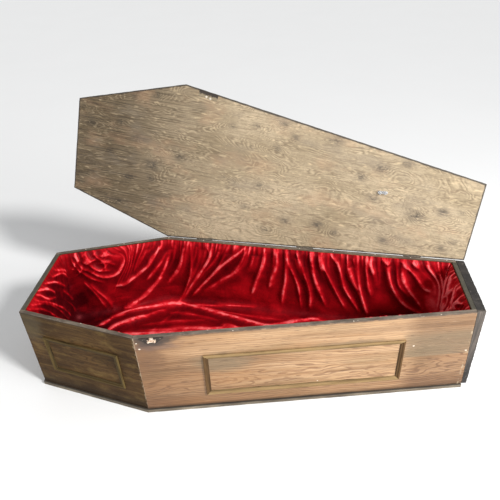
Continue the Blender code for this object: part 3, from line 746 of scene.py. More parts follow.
# The long folds on the far wall, in millimetres: height and width, then points x z from the rim down
FAR_FOLDS = read_folds("""
15 15  -352 400  -369 338  -402 267  -457 192
13 12  -310 430  -317 311  -328 249  -368 146  -404 84
13 9  -229 430  -222 379  -255 311  -322 194  -379 94
15 8  -51 429  -90 393  -170 320  -257 216  -355 91
15 20  -24 431  -47 391  -99 295  -164 241  -261 159
15 11  50 430  38 350  4 247  -20 162
12 13  103 432  110 358  81 270  70 214
12 10  150 431  151 291  136 182  131 118
9 8  158 423  171 365  210 252  228 103
17 11  201 430  234 352  270 213  269 102
15 10  261 436  281 332  314 229  348 137
10 11  306 423  326 344
12 12  324 412  336 366  395 232  441 135
15 10  360 436  403 373  438 252  512 114
14 11  434 430  449 337  501 239  547 104
12 9  464 421  495 315  530 176  551 96
11 10  518 426  541 293  559 224
10 9  527 436  563 351
9 9  591 436  626 405
14 15  616 388  643 312  679 239  730 181  805 142
10 10  662 381  681 310  738 240
15 11  676 430  735 377  789 302  824 279
10 9  685 373  713 307  803 169
10 9  716 436  757 406
15 11  -479 405  -521 360  -547 320  -600 280
15 13  -446 373  -484 321  -534 263  -559 227
17 14  -440 344  -460 294  -512 218  -605 131  -693 82
12 8  -478 413  -517 346  -561 304  -629 251  -686 218
12 12  -492 235  -563 152  -636 108  -691 78
18 10  -862 433  -852 382  -803 332  -752 288  -691 296  -650 360
14 7  -817 428  -806 376  -765 334  -719 321
13 8  -879 403  -861 359  -819 303  -762 256
17 11  -702 223  -656 235  -615 273
13 9  -777 417  -742 377  -737 329
11 7  -842 403  -814 388  -769 402
5 8  -846 273  -806 193  -774 90
5 9  -817 253  -767 163  -738 75
""")
for rise, width, points in FAR_FOLDS:
    fold([far_wall(x, z) for x, z in points], (0.55 * rise + 5) * MM, (0.7 * width + 5) * MM)

# Folds on the head end, with points y z: they fan out from the near corner
HEAD_FOLDS = read_folds("""
10 7  64 413  141 377  190 320
9 6  106 420  160 385  195 345
13 7  -73 440  -13 400  37 339
11 7  -93 432  -43 374  40 313
9 6  -7 428  69 378  146 293
8 7  -157 427  -73 368  18 258  107 114
8 7  -122 425  -27 338  76 211  165 70
7 7  -181 425  -104 360  -33 267  43 162
5 8  107 303  150 240  195 170
5 7  102 250  169 157  185 100
7 7  -150 380  -110 300  -80 200
""")
for rise, width, points in HEAD_FOLDS:
    fold([(-0.926, y, z) for y, z in points], rise * MM, (width + 2) * MM)

# Folds on the foot end, with points y z
FOOT_FOLDS = read_folds("""
14 9  150 126  117 249  111 340  105 420
12 8  88 211  56 313  62 391  80 430
11 7  -27 313  -10 380  15 430
10 8  -50 346  -66 420
12 8  86 207  20 280  -29 332  -100 390
12 9  -2 279  -56 380  -100 420
10 8  145 304  116 395
11 8  105 284  51 353  36 400
12 10  60 130  0 190  -60 270
""")
for rise, width, points in FOOT_FOLDS:
    fold([(0.889 + FOOT_LEAN * (RIM - z), y, z) for y, z in points], 1.3 * rise * MM, width * MM)

# Folds on the floor, with points x y
FLOOR_FOLDS = read_folds("""
28 24  -731 184  -699 205  -650 235  -585 265  -507 278  -386 300  -310 272  -201 223  -57 177  55 140
16 16  55 140  164 167  247 185  285 196  377 149
10 12  -290 291  -154 300  -8 290
26 18  -722 70  -689 117  -630 159  -553 188
16 16  -677 40  -463 65  -250 60
14 18  -569 87  -368 100  -116 99
22 16  -785 115  -756 130  -731 184
12 12  -171 141  -91 121
14 16  830 110  757 140  634 165  535 170
16 22  -620 -60  -300 -20  50 -50  420 -20
14 20  -420 -180  -100 -130  250 -120  600 -60
14 18  -700 -130  -480 -210  -250 -230
12 18  100 60  380 70  700 30
9 6  -334 298  -171 305  -7 292
9 7  -307 265  -160 204  -10 151  73 126
8 7  -321 281  -142 236  9 200  134 188
8 8  -676 208  -578 251  -496 277  -398 285
11 9  -650 107  -602 170  -536 211  -427 262
9 8  73 126  155 143  259 191  311 200
8 8  -111 121  12 117  94 134
9 10  -632 42  -481 53  -299 65  -149 91
8 9  -625 13  -426 33  -206 53
8 8  -232 103  -131 113  -28 101
8 8  -600 120  -430 150  -260 170
8 9  -500 230  -330 210  -150 160
""")
for rise, width, points in FLOOR_FOLDS:
    line = [(x, y, FLOOR_TOP) for x, y in points]
    fold(line, 0.8 * rise * MM, (width + 3) * MM, ends=(0.3, 0.3), count=17)

# Where the cloth is tacked down to the floor, in metres
TACKS = [
    (-0.35, 0.305), (0.262, 0.222), (0.545, 0.183), (-0.715, 0.238), (0.850, 0.128), (-0.885, 0.150),
    (-0.40, -0.300), (-0.06, -0.270), (0.310, -0.215), (0.620, -0.172), (-0.70, -0.243), (0.850, -0.120),
    (-0.885, -0.120),
]
tacks = np.array([(x, y, FLOOR_TOP + 0.012) for x, y in TACKS])

# The flow of the cloth: for each point, the place on the rim that it hangs from. The long folds above
# give it on the far wall, the same mirrored on the near one, and the ends draw in to their middles.
SEED = 11
rng = np.random.default_rng(SEED)
steps = np.linalg.norm(np.diff(base, axis=0), axis=2)
fall = np.concatenate([np.zeros((1, COLUMNS)), np.cumsum(steps, axis=0)])
# each pull: a place along the rim, a drop below it, and how far off the cloth there hangs from
pulls = [(place, 0.0, 0.0) for place in np.arange(0, PERIMETER, 0.05)]
wall_points = flat_points[: junction_row * COLUMNS]
BAND_LOW = 0.37
for _, _, points in FAR_FOLDS:
    if points[0][1] < BAND_LOW or points[-1][1] > BAND_LOW:
        continue
    line = curve_through([far_wall(x, z) for x, z in points], 9)
    found = [int(np.argmin(np.linalg.norm(wall_points - p, axis=1))) for p in line]
    places = column_reach[np.array(found) % COLUMNS]
    drops = fall.reshape(-1)[found]
    for place, drop in zip(places, drops):
        pulls.append((place, drop, places[0] - place))
        pulls.append((PERIMETER - place, drop, place - places[0]))
for first, last, middle in ((reach[3], reach[4], 0.5), (-reach[1], reach[1], 0.72)):
    centre = first + (last - first) * middle
    for top in np.linspace(first, last, 9):
        for drop in (0.06, 0.14, 0.22, 0.30, 0.38):
            place = centre + (top - centre) * (1 - 1.9 * drop)
            pulls.append((place % PERIMETER, drop, top - place))
pulls = np.array(pulls)


def shorter_way(gap):
    """A distance along the rim, taken the shorter way round."""
    return (gap + PERIMETER / 2) % PERIMETER - PERIMETER / 2


shift = np.zeros_like(height)
for row in range(ROWS):
    across = shorter_way(column_reach[:, None] - pulls[None, :, 0])
    lower = fall[row][:, None] - pulls[None, :, 1]
    weight = np.exp(-((across / 0.050) ** 2) - (lower / 0.075) ** 2)
    shift[row] = (weight @ pulls[:, 2]) / (weight.sum(1) + 0.02)
for row in range(junction_row, ROWS):
    shift[row] = shift[junction_row]
for _ in range(3):
    shift[1:-1] = (shift[:-2] + 2 * shift[1:-1] + shift[2:]) / 4
    shift = (np.roll(shift, 1, axis=1) + 2 * shift + np.roll(shift, -1, axis=1)) / 4
flow = column_reach[None, :] + shift


def calm(place):
    """How strong the gathers are at a place on the rim: weak at the head, where the cloth is stretched."""
    head = (place - (reach[3] + reach[4]) / 2) / 0.46
    foot = (min(place, PERIMETER - place)) / 0.18
    return 1 - 0.80 * math.exp(-(head**2)) - 0.5 * math.exp(-(foot**2))


def gather(place, top, bottom, rise, width):
    """Raises a fold that follows the flow down from a place on the rim, between two drops below it."""
    wander = rng.uniform(0.1, 0.5) * width * np.sin(fall * rng.uniform(8, 22) + rng.uniform(0, 6))
    gap = shorter_way(flow - place - wander)
    gap /= width * (1 + rng.uniform(-0.45, 0.45) * np.tanh(gap / (0.4 * width)))
    begun = 0.3 if top < 0.01 else 0.0
    along = begun + (1 - begun) * np.clip((fall - top) / (bottom - top), 0, 1)
    height[:] += rise * np.exp(-(gap**2)) * np.abs(np.sin(np.pi * along**0.62)) ** 0.8


# Four sets of gathers, long ones first: each one's spacing and the ranges of its upper and lower end in
# metres, then the ranges of its height and width in millimetres
for spacing, tops, bottoms, rises, widths in (
    (0.075, (0.0, 0.06), (0.14, 0.27), (4.5, 8), (13, 21)),
    (0.036, (-0.02, 0.04), (0.09, 0.24), (2.4, 4.8), (7, 11)),
    (0.020, (-0.02, 0.01), (0.04, 0.14), (1.9, 3.9), (5, 7.5)),
    (0.012, (-0.015, 0.0), (0.022, 0.060), (1.9, 3.4), (4.2, 6)),
):
    place = 0.0
    while place < PERIMETER:
        rise = rng.uniform(*rises) * MM * calm(place)
        gather(place, rng.uniform(*tops), rng.uniform(*bottoms), rise, rng.uniform(*widths) * MM)
        place += spacing * rng.uniform(0.55, 1.45)

# The foot end is crumpled, in short crossing folds that spread from the low far corner, and the floor
# has a few more long soft folds that run towards the tacks
for _ in range(95):
    angle = rng.uniform(0.10, 1.9)
    first = rng.uniform(0.0, 0.26)
    length = rng.uniform(0.05, 0.12)
    points = []
    for step in (0, 0.5, 1):
        far = first + length * step
        turn = angle + rng.normal(0, 0.12)
        points.append((0.888, 0.10 - far * math.cos(turn) * 0.9, 0.09 + far * math.sin(turn) * 1.6))
    fold(points, rng.uniform(3, 7) * MM, rng.uniform(5, 8) * MM, lean=rng.uniform(-0.5, 0.5))
for _ in range(30):
    x, z = rng.uniform(-0.88, -0.70), rng.uniform(0.33, 0.43)
    angle = rng.uniform(0, math.pi)
    step = np.array([math.cos(angle), math.sin(angle)]) * rng.uniform(0.018, 0.035)
    bow = rng.uniform(-0.008, 0.008)
    points = [(x - step[0], z - step[1]), (x + bow, z + bow), (x + step[0], z + step[1])]
    fold([far_wall(*p) for p in points], rng.uniform(3, 6) * MM, rng.uniform(5, 7) * MM)
for _ in range(14):
    tack = tacks[rng.integers(len(tacks))]
    angle = rng.uniform(0, 2 * math.pi)
    length = rng.uniform(0.12, 0.34)
    way = np.array([math.cos(angle) * 1.5, math.sin(angle) * 0.7, 0])
    start = tack + way * 0.05
    bow = np.array([-way[1], way[0], 0]) * rng.uniform(-0.03, 0.03)
    line = [start, start + way * length / 2 + bow, start + way * length]
    line = [(p[0], p[1], FLOOR_TOP) for p in line]
    fold(line, rng.uniform(3, 6) * MM, rng.uniform(9, 16) * MM, lean=rng.uniform(-0.4, 0.4))

# The sheet as a whole: it stands off the wall between the tacks and is drawn in at each one
depth_share = np.clip(np.arange(ROWS) / junction_row, 0, 1)[:, None]
floor_share = np.clip((np.arange(ROWS) - junction_row) / (ROWS - 1 - junction_row), 0, 1)[:, None]
pull_in = np.zeros_like(height)
for tack in tacks:
    pull_in += np.exp(-((np.linalg.norm(base - tack, axis=2) / 0.045) ** 2))
puff = PUFF * np.sin(np.pi * depth_share**0.8) * np.clip(1 - pull_in, 0, 1)
pad = PUFF * np.sin(np.pi * np.clip(floor_share * 0.8 + 0.1, 0, 1))
pad = pad + 0.004 * np.sin(base[:, :, 0] * 9 + 3 * base[:, :, 1] * 9)
height += puff + pad * floor_share**0.5
height -= PUFF * np.clip(pull_in, 0, 1)
wavy = np.zeros_like(height)
for _ in range(12):
    direction = rng.normal(0, 1, 3)
    direction /= np.linalg.norm(direction)
    wavy += np.sin(base @ direction * rng.uniform(18, 75) + rng.uniform(0, 6)) / 12
height += 0.007 * wavy * np.clip(depth_share * 3, 0, 1)

# At the seam in the middle of the floor both halves meet at the same points
seam = np.clip((ROWS - 1 - np.arange(ROWS)) / 6, 0, 1)[:, None]
mirror = (-np.arange(COLUMNS)) % COLUMNS
height = height * seam + (height + height[:, mirror]) / 2 * (1 - seam)
sideways *= seam[:, :, None]
height = LARGEST_LIFT * np.tanh(height / LARGEST_LIFT)
top_fade = np.clip((np.arange(ROWS) + 1.5) / 5, 0, 1)[:, None]
grid = base + normals * (height * top_fade)[:, :, None] + sideways * top_fade[:, :, None]
grid[:, :, 2] = np.clip(grid[:, :, 2], FLOOR_LOW, SHEET_TOP)


def eased(values, times):
    """The values averaged with their neighbours a number of times."""
    for _ in range(times):
        values = (np.roll(values, 1, axis=1) + 2 * values + np.roll(values, -1, axis=1)) / 4
        values[1:-1] = (values[:-2] + 2 * values[1:-1] + values[2:]) / 4
    return values


# How far each point stands out from the cloth around it, for the painted highlight on the crests and the
# painted shade between the folds
fine = np.tanh((height - eased(height.copy(), 7)) / 0.0010)
painted_fold_shading = 0.68 * np.tanh((height - eased(height.copy(), 34)) / 0.0040) + 0.42 * fine

# The turned-over hem at the top, tucked down behind the sheet
hem = []
top = grid[0]
for k in range(1, HEM_ROWS + 1):
    turned = top - normals[0] * HEM_STEP * k
    turned[:, 2] = np.minimum(top[:, 2] + (0.0008 if k == 1 else -0.003 * (k - 1)), HEM_TOP)
    hem.append(turned)
grid = np.concatenate([np.array(hem[::-1]), grid])


def with_hem(values):
    """The values with the first row repeated over the hem."""
    return np.concatenate([np.repeat(values[:1], HEM_ROWS, axis=0), values])


corner = np.arange(len(grid) * COLUMNS).reshape(-1, COLUMNS)
following = np.roll(corner, -1, axis=1)
quads = np.stack([corner[:-1], following[:-1], following[1:], corner[1:]], axis=2).reshape(-1, 4)
points = grid.reshape(-1, 3)
a, b, c = points[quads[10 * COLUMNS + 5, :3]]
if np.cross(b - a, c - a) @ normals[10, 5] < 0:
    quads = quads[:, ::-1]
velvet = bpy.data.meshes.new("velvet_sheet")
velvet.from_pydata(points.tolist(), [], quads.tolist())
store(velvet, "painted_fold_shading", with_hem(painted_fold_shading))
# The flow goes round the rim as an angle, so that the streaks have no seam where the sheet closes
turn = with_hem(flow) / PERIMETER * 2 * math.pi
round_radius = PERIMETER / 2 / math.pi
streaks = np.stack([np.cos(turn), np.sin(turn), with_hem(fall)], axis=2) * (round_radius, round_radius, 1)
store(velvet, "flow", streaks, vector=True)
shape = bmesh.new()
shape.from_mesh(velvet)
shape.verts.ensure_lookup_table()
seam_points = [shape.verts[i] for i in corner[-1]]
bmesh.ops.remove_doubles(shape, verts=seam_points, dist=0.0006)
for face in shape.faces:
    face.smooth = True
shape.to_mesh(velvet)
shape.free()
velvet_sheet = new_object("velvet_sheet", velvet)

paint = Paint("crimson_velvet", roughness=0.46, grain=False)
painted_fold_shading_value = paint.attribute("painted_fold_shading")
flow_value = paint.attribute("flow", "Vector")
nap = paint.noise((6, 6), detail=4, roughness=0.6)
crush = paint.noise((45, 45), detail=4, roughness=0.6, distortion=0.6)
pleat = paint.noise((75, 75, 7), roughness=0.5, vector=flow_value)
weave = paint.noise((900, 900), detail=2)
# Painted highlight along the fold crests, broken up in patches
sharp = paint.ramp(painted_fold_shading_value, 0.28, 1.10)
broken = paint.patches((17, 17), 0.34, 0.62, 0.40, 1.15, detail=4, roughness=0.65, shift=5)
sharp = paint.times(sharp, broken)
on_wall = paint.ramp(paint.parts(flow_value)[2], 0.26, 0.06)
# Painted shade over the head end of the lining
head_painted_shade = paint.spot((-0.93, 0.00, 0.16), (0.34, 0.34, 0.34), ragged=0.2, grain=(8, 8))
pleated = paint.times(paint.centred(pleat), paint.times(on_wall, paint.minus(1.0, head_painted_shade)))
# Painted light over the foot end of the lining
lit = paint.spot((0.88, 0.04, 0.24), (0.16, 0.24, 0.34), ragged=0.4, grain=(18, 18))
level = paint.total(
    paint.ramp(painted_fold_shading_value, -1.0, 0.5, 0.22, 0.46),
    (sharp, 0.36),
    (paint.centred(crush), 0.24),
    (paint.centred(nap), 0.50),
    (pleated, 0.22),
    (paint.times(head_painted_shade, paint.total(1.0, (sharp, -0.7))), -0.42),
    (lit, paint.total(0.30, (sharp, 0.50))),
    # painted light along the gathered band just under the rim
    (paint.ramp(paint.parts(flow_value)[2], 0.075, 0.01), 0.05),
)
# The colours run from painted shade between the folds to painted highlight on the crests
paint.colour = paint.colours(
    level, (0.06, "330004"), (0.32, "78040c"), (0.54, "ae0b16"), (0.72, "e4323b"), (0.90, "ff7476")
)
texture = paint.total(paint.times(crush, 0.5), (weave, 0.08), (pleated, 0.7))
velvet_paint = paint.finish(texture, depth=0.0022)
paint.shader.inputs["Sheen Weight"].default_value = 0.35
paint.shader.inputs["Sheen Roughness"].default_value = 0.35
paint.shader.inputs["Sheen Tint"].default_value = ink("ff3a44")
paint.shader.inputs["Specular IOR Level"].default_value = 0.4
paint.shader.inputs["Specular Tint"].default_value = ink("ff6a70")
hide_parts("velvet_lining")
hand_over(velvet_sheet, velvet_paint, "box")

# The lid: one board of stained plywood, with swirling rotary-cut figure and small dark knots on its
# inner face, darker towards the head, and a blackened band along its edges.
HINGE_START = Vector((-0.435918, 0.366594, 0.4435))
HINGE_ALONG = Vector((0.990638, -0.136516, 0))
HINGE_OUT = Vector((0.136516, 0.990638, 0))
OPEN = math.radians(107.2)
hinge_axes = Matrix((HINGE_ALONG, HINGE_OUT, (0, 0, 1))).transposed().to_4x4()
hinge_turn = Matrix.Translation(HINGE_START) @ hinge_axes
opened = hinge_turn @ Matrix.Rotation(-OPEN, 4, "X") @ hinge_turn.inverted()
lid_face = Face(HEAD_NEAR, FOOT_NEAR)
lid_face.start = opened @ Vector((0, 0, 0.444))
turned_lid = opened.to_3x3()
lid_face.along, lid_face.down, lid_face.out = (
    (turned_lid @ Vector(v)).normalized() for v in ((1, 0, 0), (0, 1, 0), (0, 0, -1))
)
# Knots on the inner face, in millimetres: x and y on the closed lid, and a radius
KNOTS = """
-877 -119 22  -727 -146 20  -645 -87 22  -606 -85 12  -419 -35 24  -556 30 34
-664 109 24  -555 95 20  -671 -276 18  -565 -297 18  -712 242 20  -190 -222 16
-81 -242 16  45 -271 18  27 -160 18  -28 23 20  -78 137 18  35 226 18
121 165 22  104 -222 18  257 -236 12  289 -242 22  502 -158 26  607 -196 22
694 20 34  805 -19 26  881 -32 14  275 151 26  359 172 20  583 162 22
878 102 18  842 143 20  421 -104 22  496 -20 22  -777 -1 18  -929 -189 12
"""
lid_piece = worn_copy("lid_board", lid_face, bevel=0.0009, cell=0.012, wear=0.0009)
values = np.zeros(len(lid_piece.data.vertices) * 3, np.float32)
lid_piece.data.attributes["grain"].data.foreach_get("vector", values)
lid_points = values.reshape(-1, 3)
swirl = np.zeros(len(lid_points))
smudge = np.zeros(len(lid_points))
for x, y, radius in np.reshape([int(number) for number in KNOTS.split()], (-1, 3)):
    gap = np.hypot((lid_points[:, 0] - x / 1000) * 0.62, lid_points[:, 1] - y / 1000) / (radius * MM)
    swirl += np.exp(-gap / 1.6) * (1.0 if radius % 4 else -1.0)
    smudge = np.maximum(smudge, np.exp(-((gap / 0.70) ** 2)) * min(1.0, 0.4 + radius / 50))
corners = (HEAD_NEAR, SHOULDER_NEAR, FOOT_NEAR, FOOT_FAR, SHOULDER_FAR, HEAD_FAR)
outline = [np.array([c.x, c.y, 0]) for c in corners]
sides = [(outline[k - 1], outline[k]) for k in range(6)]
outer = distance_to_lines(lid_points * (1, 1, 0), sides)
for name, values in (("outer", outer), ("swirl", swirl), ("smudge", smudge)):
    store(lid_piece.data, name, values)

FIGURE_LINES = 215.0
paint = Paint("lid_plywood")
edge = paint.attribute("edge")
x, _, z = paint.parts()
field = paint.noise((2.0, 6.2), detail=4, roughness=0.5, distortion=0.6)
contour = paint.maths("SINE", paint.times(paint.total(field, (paint.attribute("swirl"), 0.13)), FIGURE_LINES))
broken = paint.patches((9, 30), 0.38, 0.62, detail=4, shift=31)
line = paint.times(paint.ramp(contour, 0.1, 0.95), broken)
pale_line = paint.times(paint.ramp(contour, -0.1, -0.95), broken)
fibre = paint.noise((12, 150), detail=5, roughness=0.65)
curl = paint.noise((34, 60), detail=5, roughness=0.7, distortion=2.2, shift=17)
patch = paint.noise((2.2, 4.5), detail=4, shift=2)
ground = paint.colours(patch, (0.34, "ab9879"), (0.52, "c5b192"), (0.70, "cdb898"))
dark_end = paint.ramp(paint.plus(x, paint.times(patch, 0.35)), -0.66, 0.10)
paint.colour = paint.mix(dark_end, "55462f", ground)
paint.lay(line, "66543c", 0.50)
paint.lay(paint.times(pale_line, paint.ramp(dark_end, 0.0, 1.0, 0.26, 0.42)), "e6cfa8")
paint.stain(curl, 0.42, 0.64, 0.42, "85745c")
paint.stain(fibre, 0.40, 0.70, 0.35, "8a765a")
hair = paint.patches((5, 190), 0.46, 0.62, detail=4, roughness=0.6, shift=23)
hair = paint.times(hair, paint.ramp(dark_end, 0.0, 1.0, 0.72, 0.18))
paint.lay(hair, "382c1e")
rosy = paint.patches((5, 9), 0.50, 0.70, 0.0, 0.25, detail=4, shift=41)
paint.lay(rosy, "c59a77")
glint = paint.patches((20, 55), 0.58, 0.72, 0.0, 0.6, detail=5, shift=6)
glint = paint.times(glint, paint.ramp(dark_end, 0.0, 1.0, 0.45, 1.0))
paint.lay(glint, "e6cda4")
fleck = paint.noise((45, 95), detail=5, roughness=0.65, distortion=0.8, shift=8)
mark = paint.times(paint.attribute("smudge"), paint.ramp(fleck, 0.28, 0.58))
paint.lay(mark, paint.mix(dark_end, "221d18", "453f3a"), 0.95)
cloud = paint.patches((4.0, 8), 0.50, 0.74, 0.0, 0.5, detail=6, roughness=0.65, shift=12)
paint.lay(cloud, "7b7062")
ragged = paint.total(paint.attribute("outer"), (paint.noise((25, 25), detail=4), 0.010))
paint.lay(paint.ramp(ragged, 0.0135, 0.0085), "37302a", 0.9)
outside = paint.ramp(z, 0.0160, 0.0174)
plain = paint.mix(fibre, "5d4a33", "8a7049")
plain = paint.mix(paint.times(line, 0.3), plain, "3f3020")
plain = paint.mix(paint.times(cloud, 1.2, clamp=True), plain, "4a4136")
paint.lay(outside, paint.mix(paint.ramp(ragged, 0.0115, 0.0065, 0.0, 0.8), plain, "241e19"))
ply = paint.waves(z, PLY)
side_edge = paint.times(paint.ramp(z, 0.0012, 0.0022), paint.ramp(z, 0.0172, 0.0162))
side_edge = paint.times(side_edge, paint.ramp(edge, 0.0092, 0.0090))
paint.lay(side_edge, paint.mix(paint.ramp(ply, 0.0, 0.9), "39322b", "574b3f"))
height = paint.plus(paint.times(line, 0.3), paint.times(fibre, 0.7))
lid_paint = paint.finish(height, paint.ramp(patch, 0.3, 0.8, 0.5, 0.68), depth=0.0005)
hand_over(lid_piece, lid_paint, "lid")

# The metal: the blackened plate and brass body of the catch, the strike in the lid, the bright hook
# and the dull steel hinges.
def metal_paint(name, pale, dark, rust, roughness, metallic):
    paint = Paint(name, metallic=metallic, grain=False)
    patch = paint.noise((180, 180), detail=4)
    spots = paint.noise((540, 540))
    paint.colour = paint.mix(paint.ramp(patch, 0.35, 0.65), dark, pale)
    paint.stain(spots, 0.58, 0.70, 0.8, rust)
    return paint.finish(spots, paint.ramp(patch, 0.3, 0.7, roughness, roughness + 0.2), depth=0.0002)


# The strike's dark tone fades into the lid's dirt away from the edge
paint = Paint("strike_iron", roughness=0.7, grain=False)
edge_run = (FOOT_NEAR - SHOULDER_NEAR).normalized()
inward = turned_lid @ Vector((-edge_run.y, edge_run.x, 0))
away = paint.vector("SUBTRACT", paint.field, opened @ SHOULDER_NEAR)
inside = paint.vector("DOT_PRODUCT", away, inward)
ragged = paint.times(paint.centred(paint.noise((90, 90), detail=4)), 0.022)
dirt = paint.ramp(paint.plus(inside, ragged), 0.020, 0.012)
tone = paint.mix(paint.noise((160, 160), detail=4), "857761", "a39377")
paint.colour = paint.mix(dirt, tone, "3a322b")
strike_paint = paint.finish(ragged)
metals = {
    "catch_plate": metal_paint("blackened_iron", "4a403a", "2a2420", "54402e", 0.55, 0.35),
    "catch_body": metal_paint("catch_brass", "efe0cd", "cba68a", "9a7455", 0.35, 0.35),
    "lid_hook": metal_paint("hook_nickel", "f4f4f2", "d9dadb", "9b9890", 0.15, 0.8),
    "lid_strike": strike_paint,
}
steel_paint = metal_paint("hinge_steel", "7d7365", "554c42", "5f4a38", 0.55, 0.4)
for node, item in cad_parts.items():
    if node in metals or node.startswith("hinge_"):
        item.data.materials.clear()
        item.data.materials.append(metals.get(node, steel_paint))

# The screws: domed steel heads with a slot, in the hinge leaves, the catch plate, the strike and the
# hook. The strike's are large and pale, and the hook's are tiny. Each one's slot stands as it was left.
def screw_head(name, radius, sides=20):
    """A domed head with a sunk slot, standing on the origin and facing up."""
    shape = bmesh.new()
    rings = []
    for share, up in ((1.0, -0.0004), (1.0, 0.00005), (0.86, radius * 0.16), (0.55, radius * 0.24)):
        turns = [2 * math.pi * k / sides for k in range(sides)]
        places = [(radius * share * math.cos(turn), radius * share * math.sin(turn), up) for turn in turns]
        rings.append([shape.verts.new(place) for place in places])
    shape.faces.new(reversed(rings[0]))
    shape.faces.new(rings[-1])
    for lower, upper in zip(rings, rings[1:]):
        for k in range(sides):
            j = (k + 1) % sides
            shape.faces.new((lower[k], lower[j], upper[j], upper[k]))
    head = new_object(name, to_mesh(shape, name))
    shape = bmesh.new()
    bmesh.ops.create_cube(shape, size=1)
    bmesh.ops.scale(shape, vec=(radius * 3, radius * 0.22, radius * 0.4), verts=shape.verts)
    bmesh.ops.translate(shape, vec=(0, 0, radius * 0.28), verts=shape.verts)
    cutter = new_object(name + "_slot", to_mesh(shape, name + "_slot"))
    cut = head.modifiers.new("slot", "BOOLEAN")
    cut.operation = "DIFFERENCE"
    cut.object = cutter
    head.data = made_by_modifiers(head)
    bpy.data.objects.remove(cutter, do_unlink=True)
    return head


def made_by_modifiers(item):
    """The mesh that an object's modifiers make; they come off the object."""
    bpy.context.view_layer.update()
    made = bpy.data.meshes.new_from_object(item.evaluated_get(bpy.context.evaluated_depsgraph_get()))
    item.modifiers.clear()
    return made


def fixings_tree():
    """The tree that sets a copy of an object on every point, facing out along it and turned at random."""
    tree = bpy.data.node_groups.new("fixings", "GeometryNodeTree")
    inputs = {"Points": "Geometry", "Fixing": "Object", "Metal": "Material", "Random turn": "Float"}
    for name, kind in inputs.items():
        tree.interface.new_socket(name, in_out="INPUT", socket_type="NodeSocket" + kind)
    tree.interface.new_socket("Fixings", in_out="OUTPUT", socket_type="NodeSocketGeometry")

    def add(kind, inputs=None, **settings):
        """A node with its settings, and with its inputs linked or set."""
        node = tree.nodes.new(kind)
        for key, value in settings.items():
            setattr(node, key, value)
        for key, value in (inputs or {}).items():
            if isinstance(value, bpy.types.NodeSocket):
                tree.links.new(value, node.inputs[key])
            else:
                node.inputs[key].default_value = value
        return node

    given = add("NodeGroupInput").outputs
    facing, side = (
        add("GeometryNodeInputNamedAttribute", {"Name": name}, data_type="FLOAT_VECTOR").outputs["Attribute"]
        for name in ("out", "side")
    )
    stand = add("FunctionNodeAxesToRotation", {0: facing, 1: side}, primary_axis="Z", secondary_axis="X")
    chance = add("FunctionNodeRandomValue", {"Seed": 5}, data_type="FLOAT")
    amount = add("ShaderNodeMath", {0: chance.outputs[1], 1: given["Random turn"]}, operation="MULTIPLY")
    turn = add("FunctionNodeAxisAngleToRotation", {0: (0, 0, 1), 1: amount.outputs[0]})
    turns = {0: stand.outputs[0], 1: turn.outputs[0]}
    both = add("FunctionNodeRotateRotation", turns, rotation_space="LOCAL")
    source = add("GeometryNodeObjectInfo", {"Object": given["Fixing"]})
    places = {"Points": given["Points"], "Instance": source.outputs["Geometry"], "Rotation": both.outputs[0]}
    placed = add("GeometryNodeInstanceOnPoints", places)
    real = add("GeometryNodeRealizeInstances", {0: placed.outputs[0]})
    dressed = add("GeometryNodeSetMaterial", {"Geometry": real.outputs[0], "Material": given["Metal"]})
    add("NodeGroupOutput", {0: dressed.outputs[0]})
    return tree


FIXINGS = fixings_tree()


def set_fixings(name, fixing, spots, material, body, random_turn=0.0):
    """Sets the fixing at each spot, given as its place, the way it faces and the way its side lies."""
    mesh = bpy.data.meshes.new(name + "_points")
    mesh.from_pydata([tuple(spot[0]) for spot in spots], [], [])
    store(mesh, "out", [tuple(spot[1]) for spot in spots], vector=True)
    store(mesh, "side", [tuple(spot[2]) for spot in spots], vector=True)
    carrier = new_object(name + "_points", mesh)
    modifier = carrier.modifiers.new("fixings", "NODES")
    modifier.node_group = FIXINGS
    values = {"Fixing": fixing, "Metal": material, "Random turn": random_turn}
    for item in FIXINGS.interface.items_tree:
        if item.in_out == "INPUT" and item.name in values:
            modifier[item.identifier] = values[item.name]
    made = made_by_modifiers(carrier)
    bpy.data.objects.remove(carrier, do_unlink=True)
    return hand_over(new_object(name, made), material, body)


HINGE_PLACES = (0.190, 0.6809, 1.1717)
CATCH_PLACE = 0.073
HOOK_PLACE, HOOK_DROP = 1.0161, 0.285
small_head, large_head = screw_head("small_screw", 0.0031), screw_head("large_screw", 0.0056)
tiny_head = screw_head("tiny_screw", 0.0019)
box_spots, lid_spots = [], []
leaf_facing = (HINGE_OUT - Vector((0, 0, LEAN))).normalized()
for place in HINGE_PLACES:
    for aside in (-0.026, 0.026):
        along = HINGE_START + HINGE_ALONG * (place + aside)
        box_spots.append((along + HINGE_OUT * 0.0009 - Vector((0, 0, 0.0220)), leaf_facing, HINGE_ALONG))
        lid_place = opened @ (along + HINGE_OUT * 0.0017 + Vector((0, 0, 0.0108)))
        lid_spots.append((lid_place, turned_lid @ HINGE_OUT, turned_lid @ HINGE_ALONG))
near = faces["side_near"]
for aside in (-0.034, 0.034):
    spot = near.start + near.along * (CATCH_PLACE + aside) + near.down * 0.0100 + near.out * 0.0023
    box_spots.append((spot, near.out, near.along))
below = turned_lid @ Vector((0, 0, -1))
lid_long = turned_lid @ Vector((1, 0, 0))
strike_places = (Vector((-0.3318, -0.3271, 0.4440)), Vector((-0.3129, -0.3219, 0.4440)))
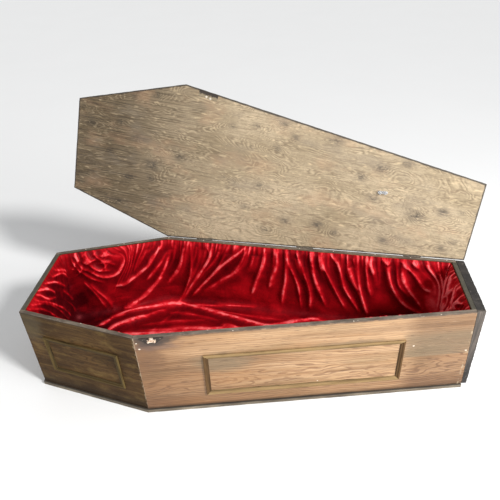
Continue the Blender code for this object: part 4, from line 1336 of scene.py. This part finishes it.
strike_spots = [(opened @ place, below, lid_long) for place in strike_places]
hook_middle = HINGE_START + HINGE_ALONG * HOOK_PLACE - HINGE_OUT * HOOK_DROP + Vector((0, 0, -0.0014))
hook_spots = [(opened @ (hook_middle + HINGE_ALONG * aside), below, lid_long) for aside in (-0.0188, 0.0205)]
screw_paint = metal_paint("screw_steel", "8b8378", "4e463d", "54402e", 0.4, 0.7)
pale_paint = metal_paint("pale_screws", "efe6d6", "d3c6b2", "a08a70", 0.4, 0.3)
for name, head, spots, material, body, slot in (
    ("box_screws", small_head, box_spots, screw_paint, "box", "hinge_steel"),
    ("lid_hinge_screws", small_head, lid_spots, screw_paint, "lid", "hinge_steel"),
    ("strike_screws", large_head, strike_spots, pale_paint, "lid", "hook_nickel"),
    ("hook_screws", tiny_head, hook_spots, metals["lid_hook"], "lid", "hook_nickel"),
):
    set_fixings(name, head, spots, material, body, random_turn=3.1)

# The nails driven into the boards' upper edges, flush and rubbed bright in places.
shape = bmesh.new()
bmesh.ops.create_cone(shape, cap_ends=True, segments=14, radius1=0.0026, radius2=0.0022, depth=0.0008)
bmesh.ops.bevel(shape, geom=shape.edges[:], offset=0.00016, segments=1, affect="EDGES")
nail = new_object("nail", to_mesh(shape, "nail"))
up, rightwards = Vector((0, 0, 1)), Vector((1, 0, 0))
NAIL_HEIGHT = 0.4431
nail_spots = []
for x, inset in (
    (-0.428, 0.008), (-0.354, 0.008), (-0.252, 0.009), (-0.099, 0.008), (0.055, 0.009), (0.215, 0.008),
    (0.372, 0.010), (0.561, 0.008), (0.718, 0.009), (0.874, 0.008), (-0.640, 0.008), (-0.815, 0.009),
):
    y = rim_y(x) - inset
    nail_spots.append((Vector((x, y, NAIL_HEIGHT)), up, rightwards))
    if x in (-0.099, 0.372, 0.718):
        nail_spots.append((Vector((x + 0.05, -y, NAIL_HEIGHT)), up, rightwards))
set_fixings("rim_nails", nail, nail_spots, pale_paint, "box")
for fixing in (small_head, large_head, tiny_head, nail):
    bpy.data.objects.remove(fixing, do_unlink=True)
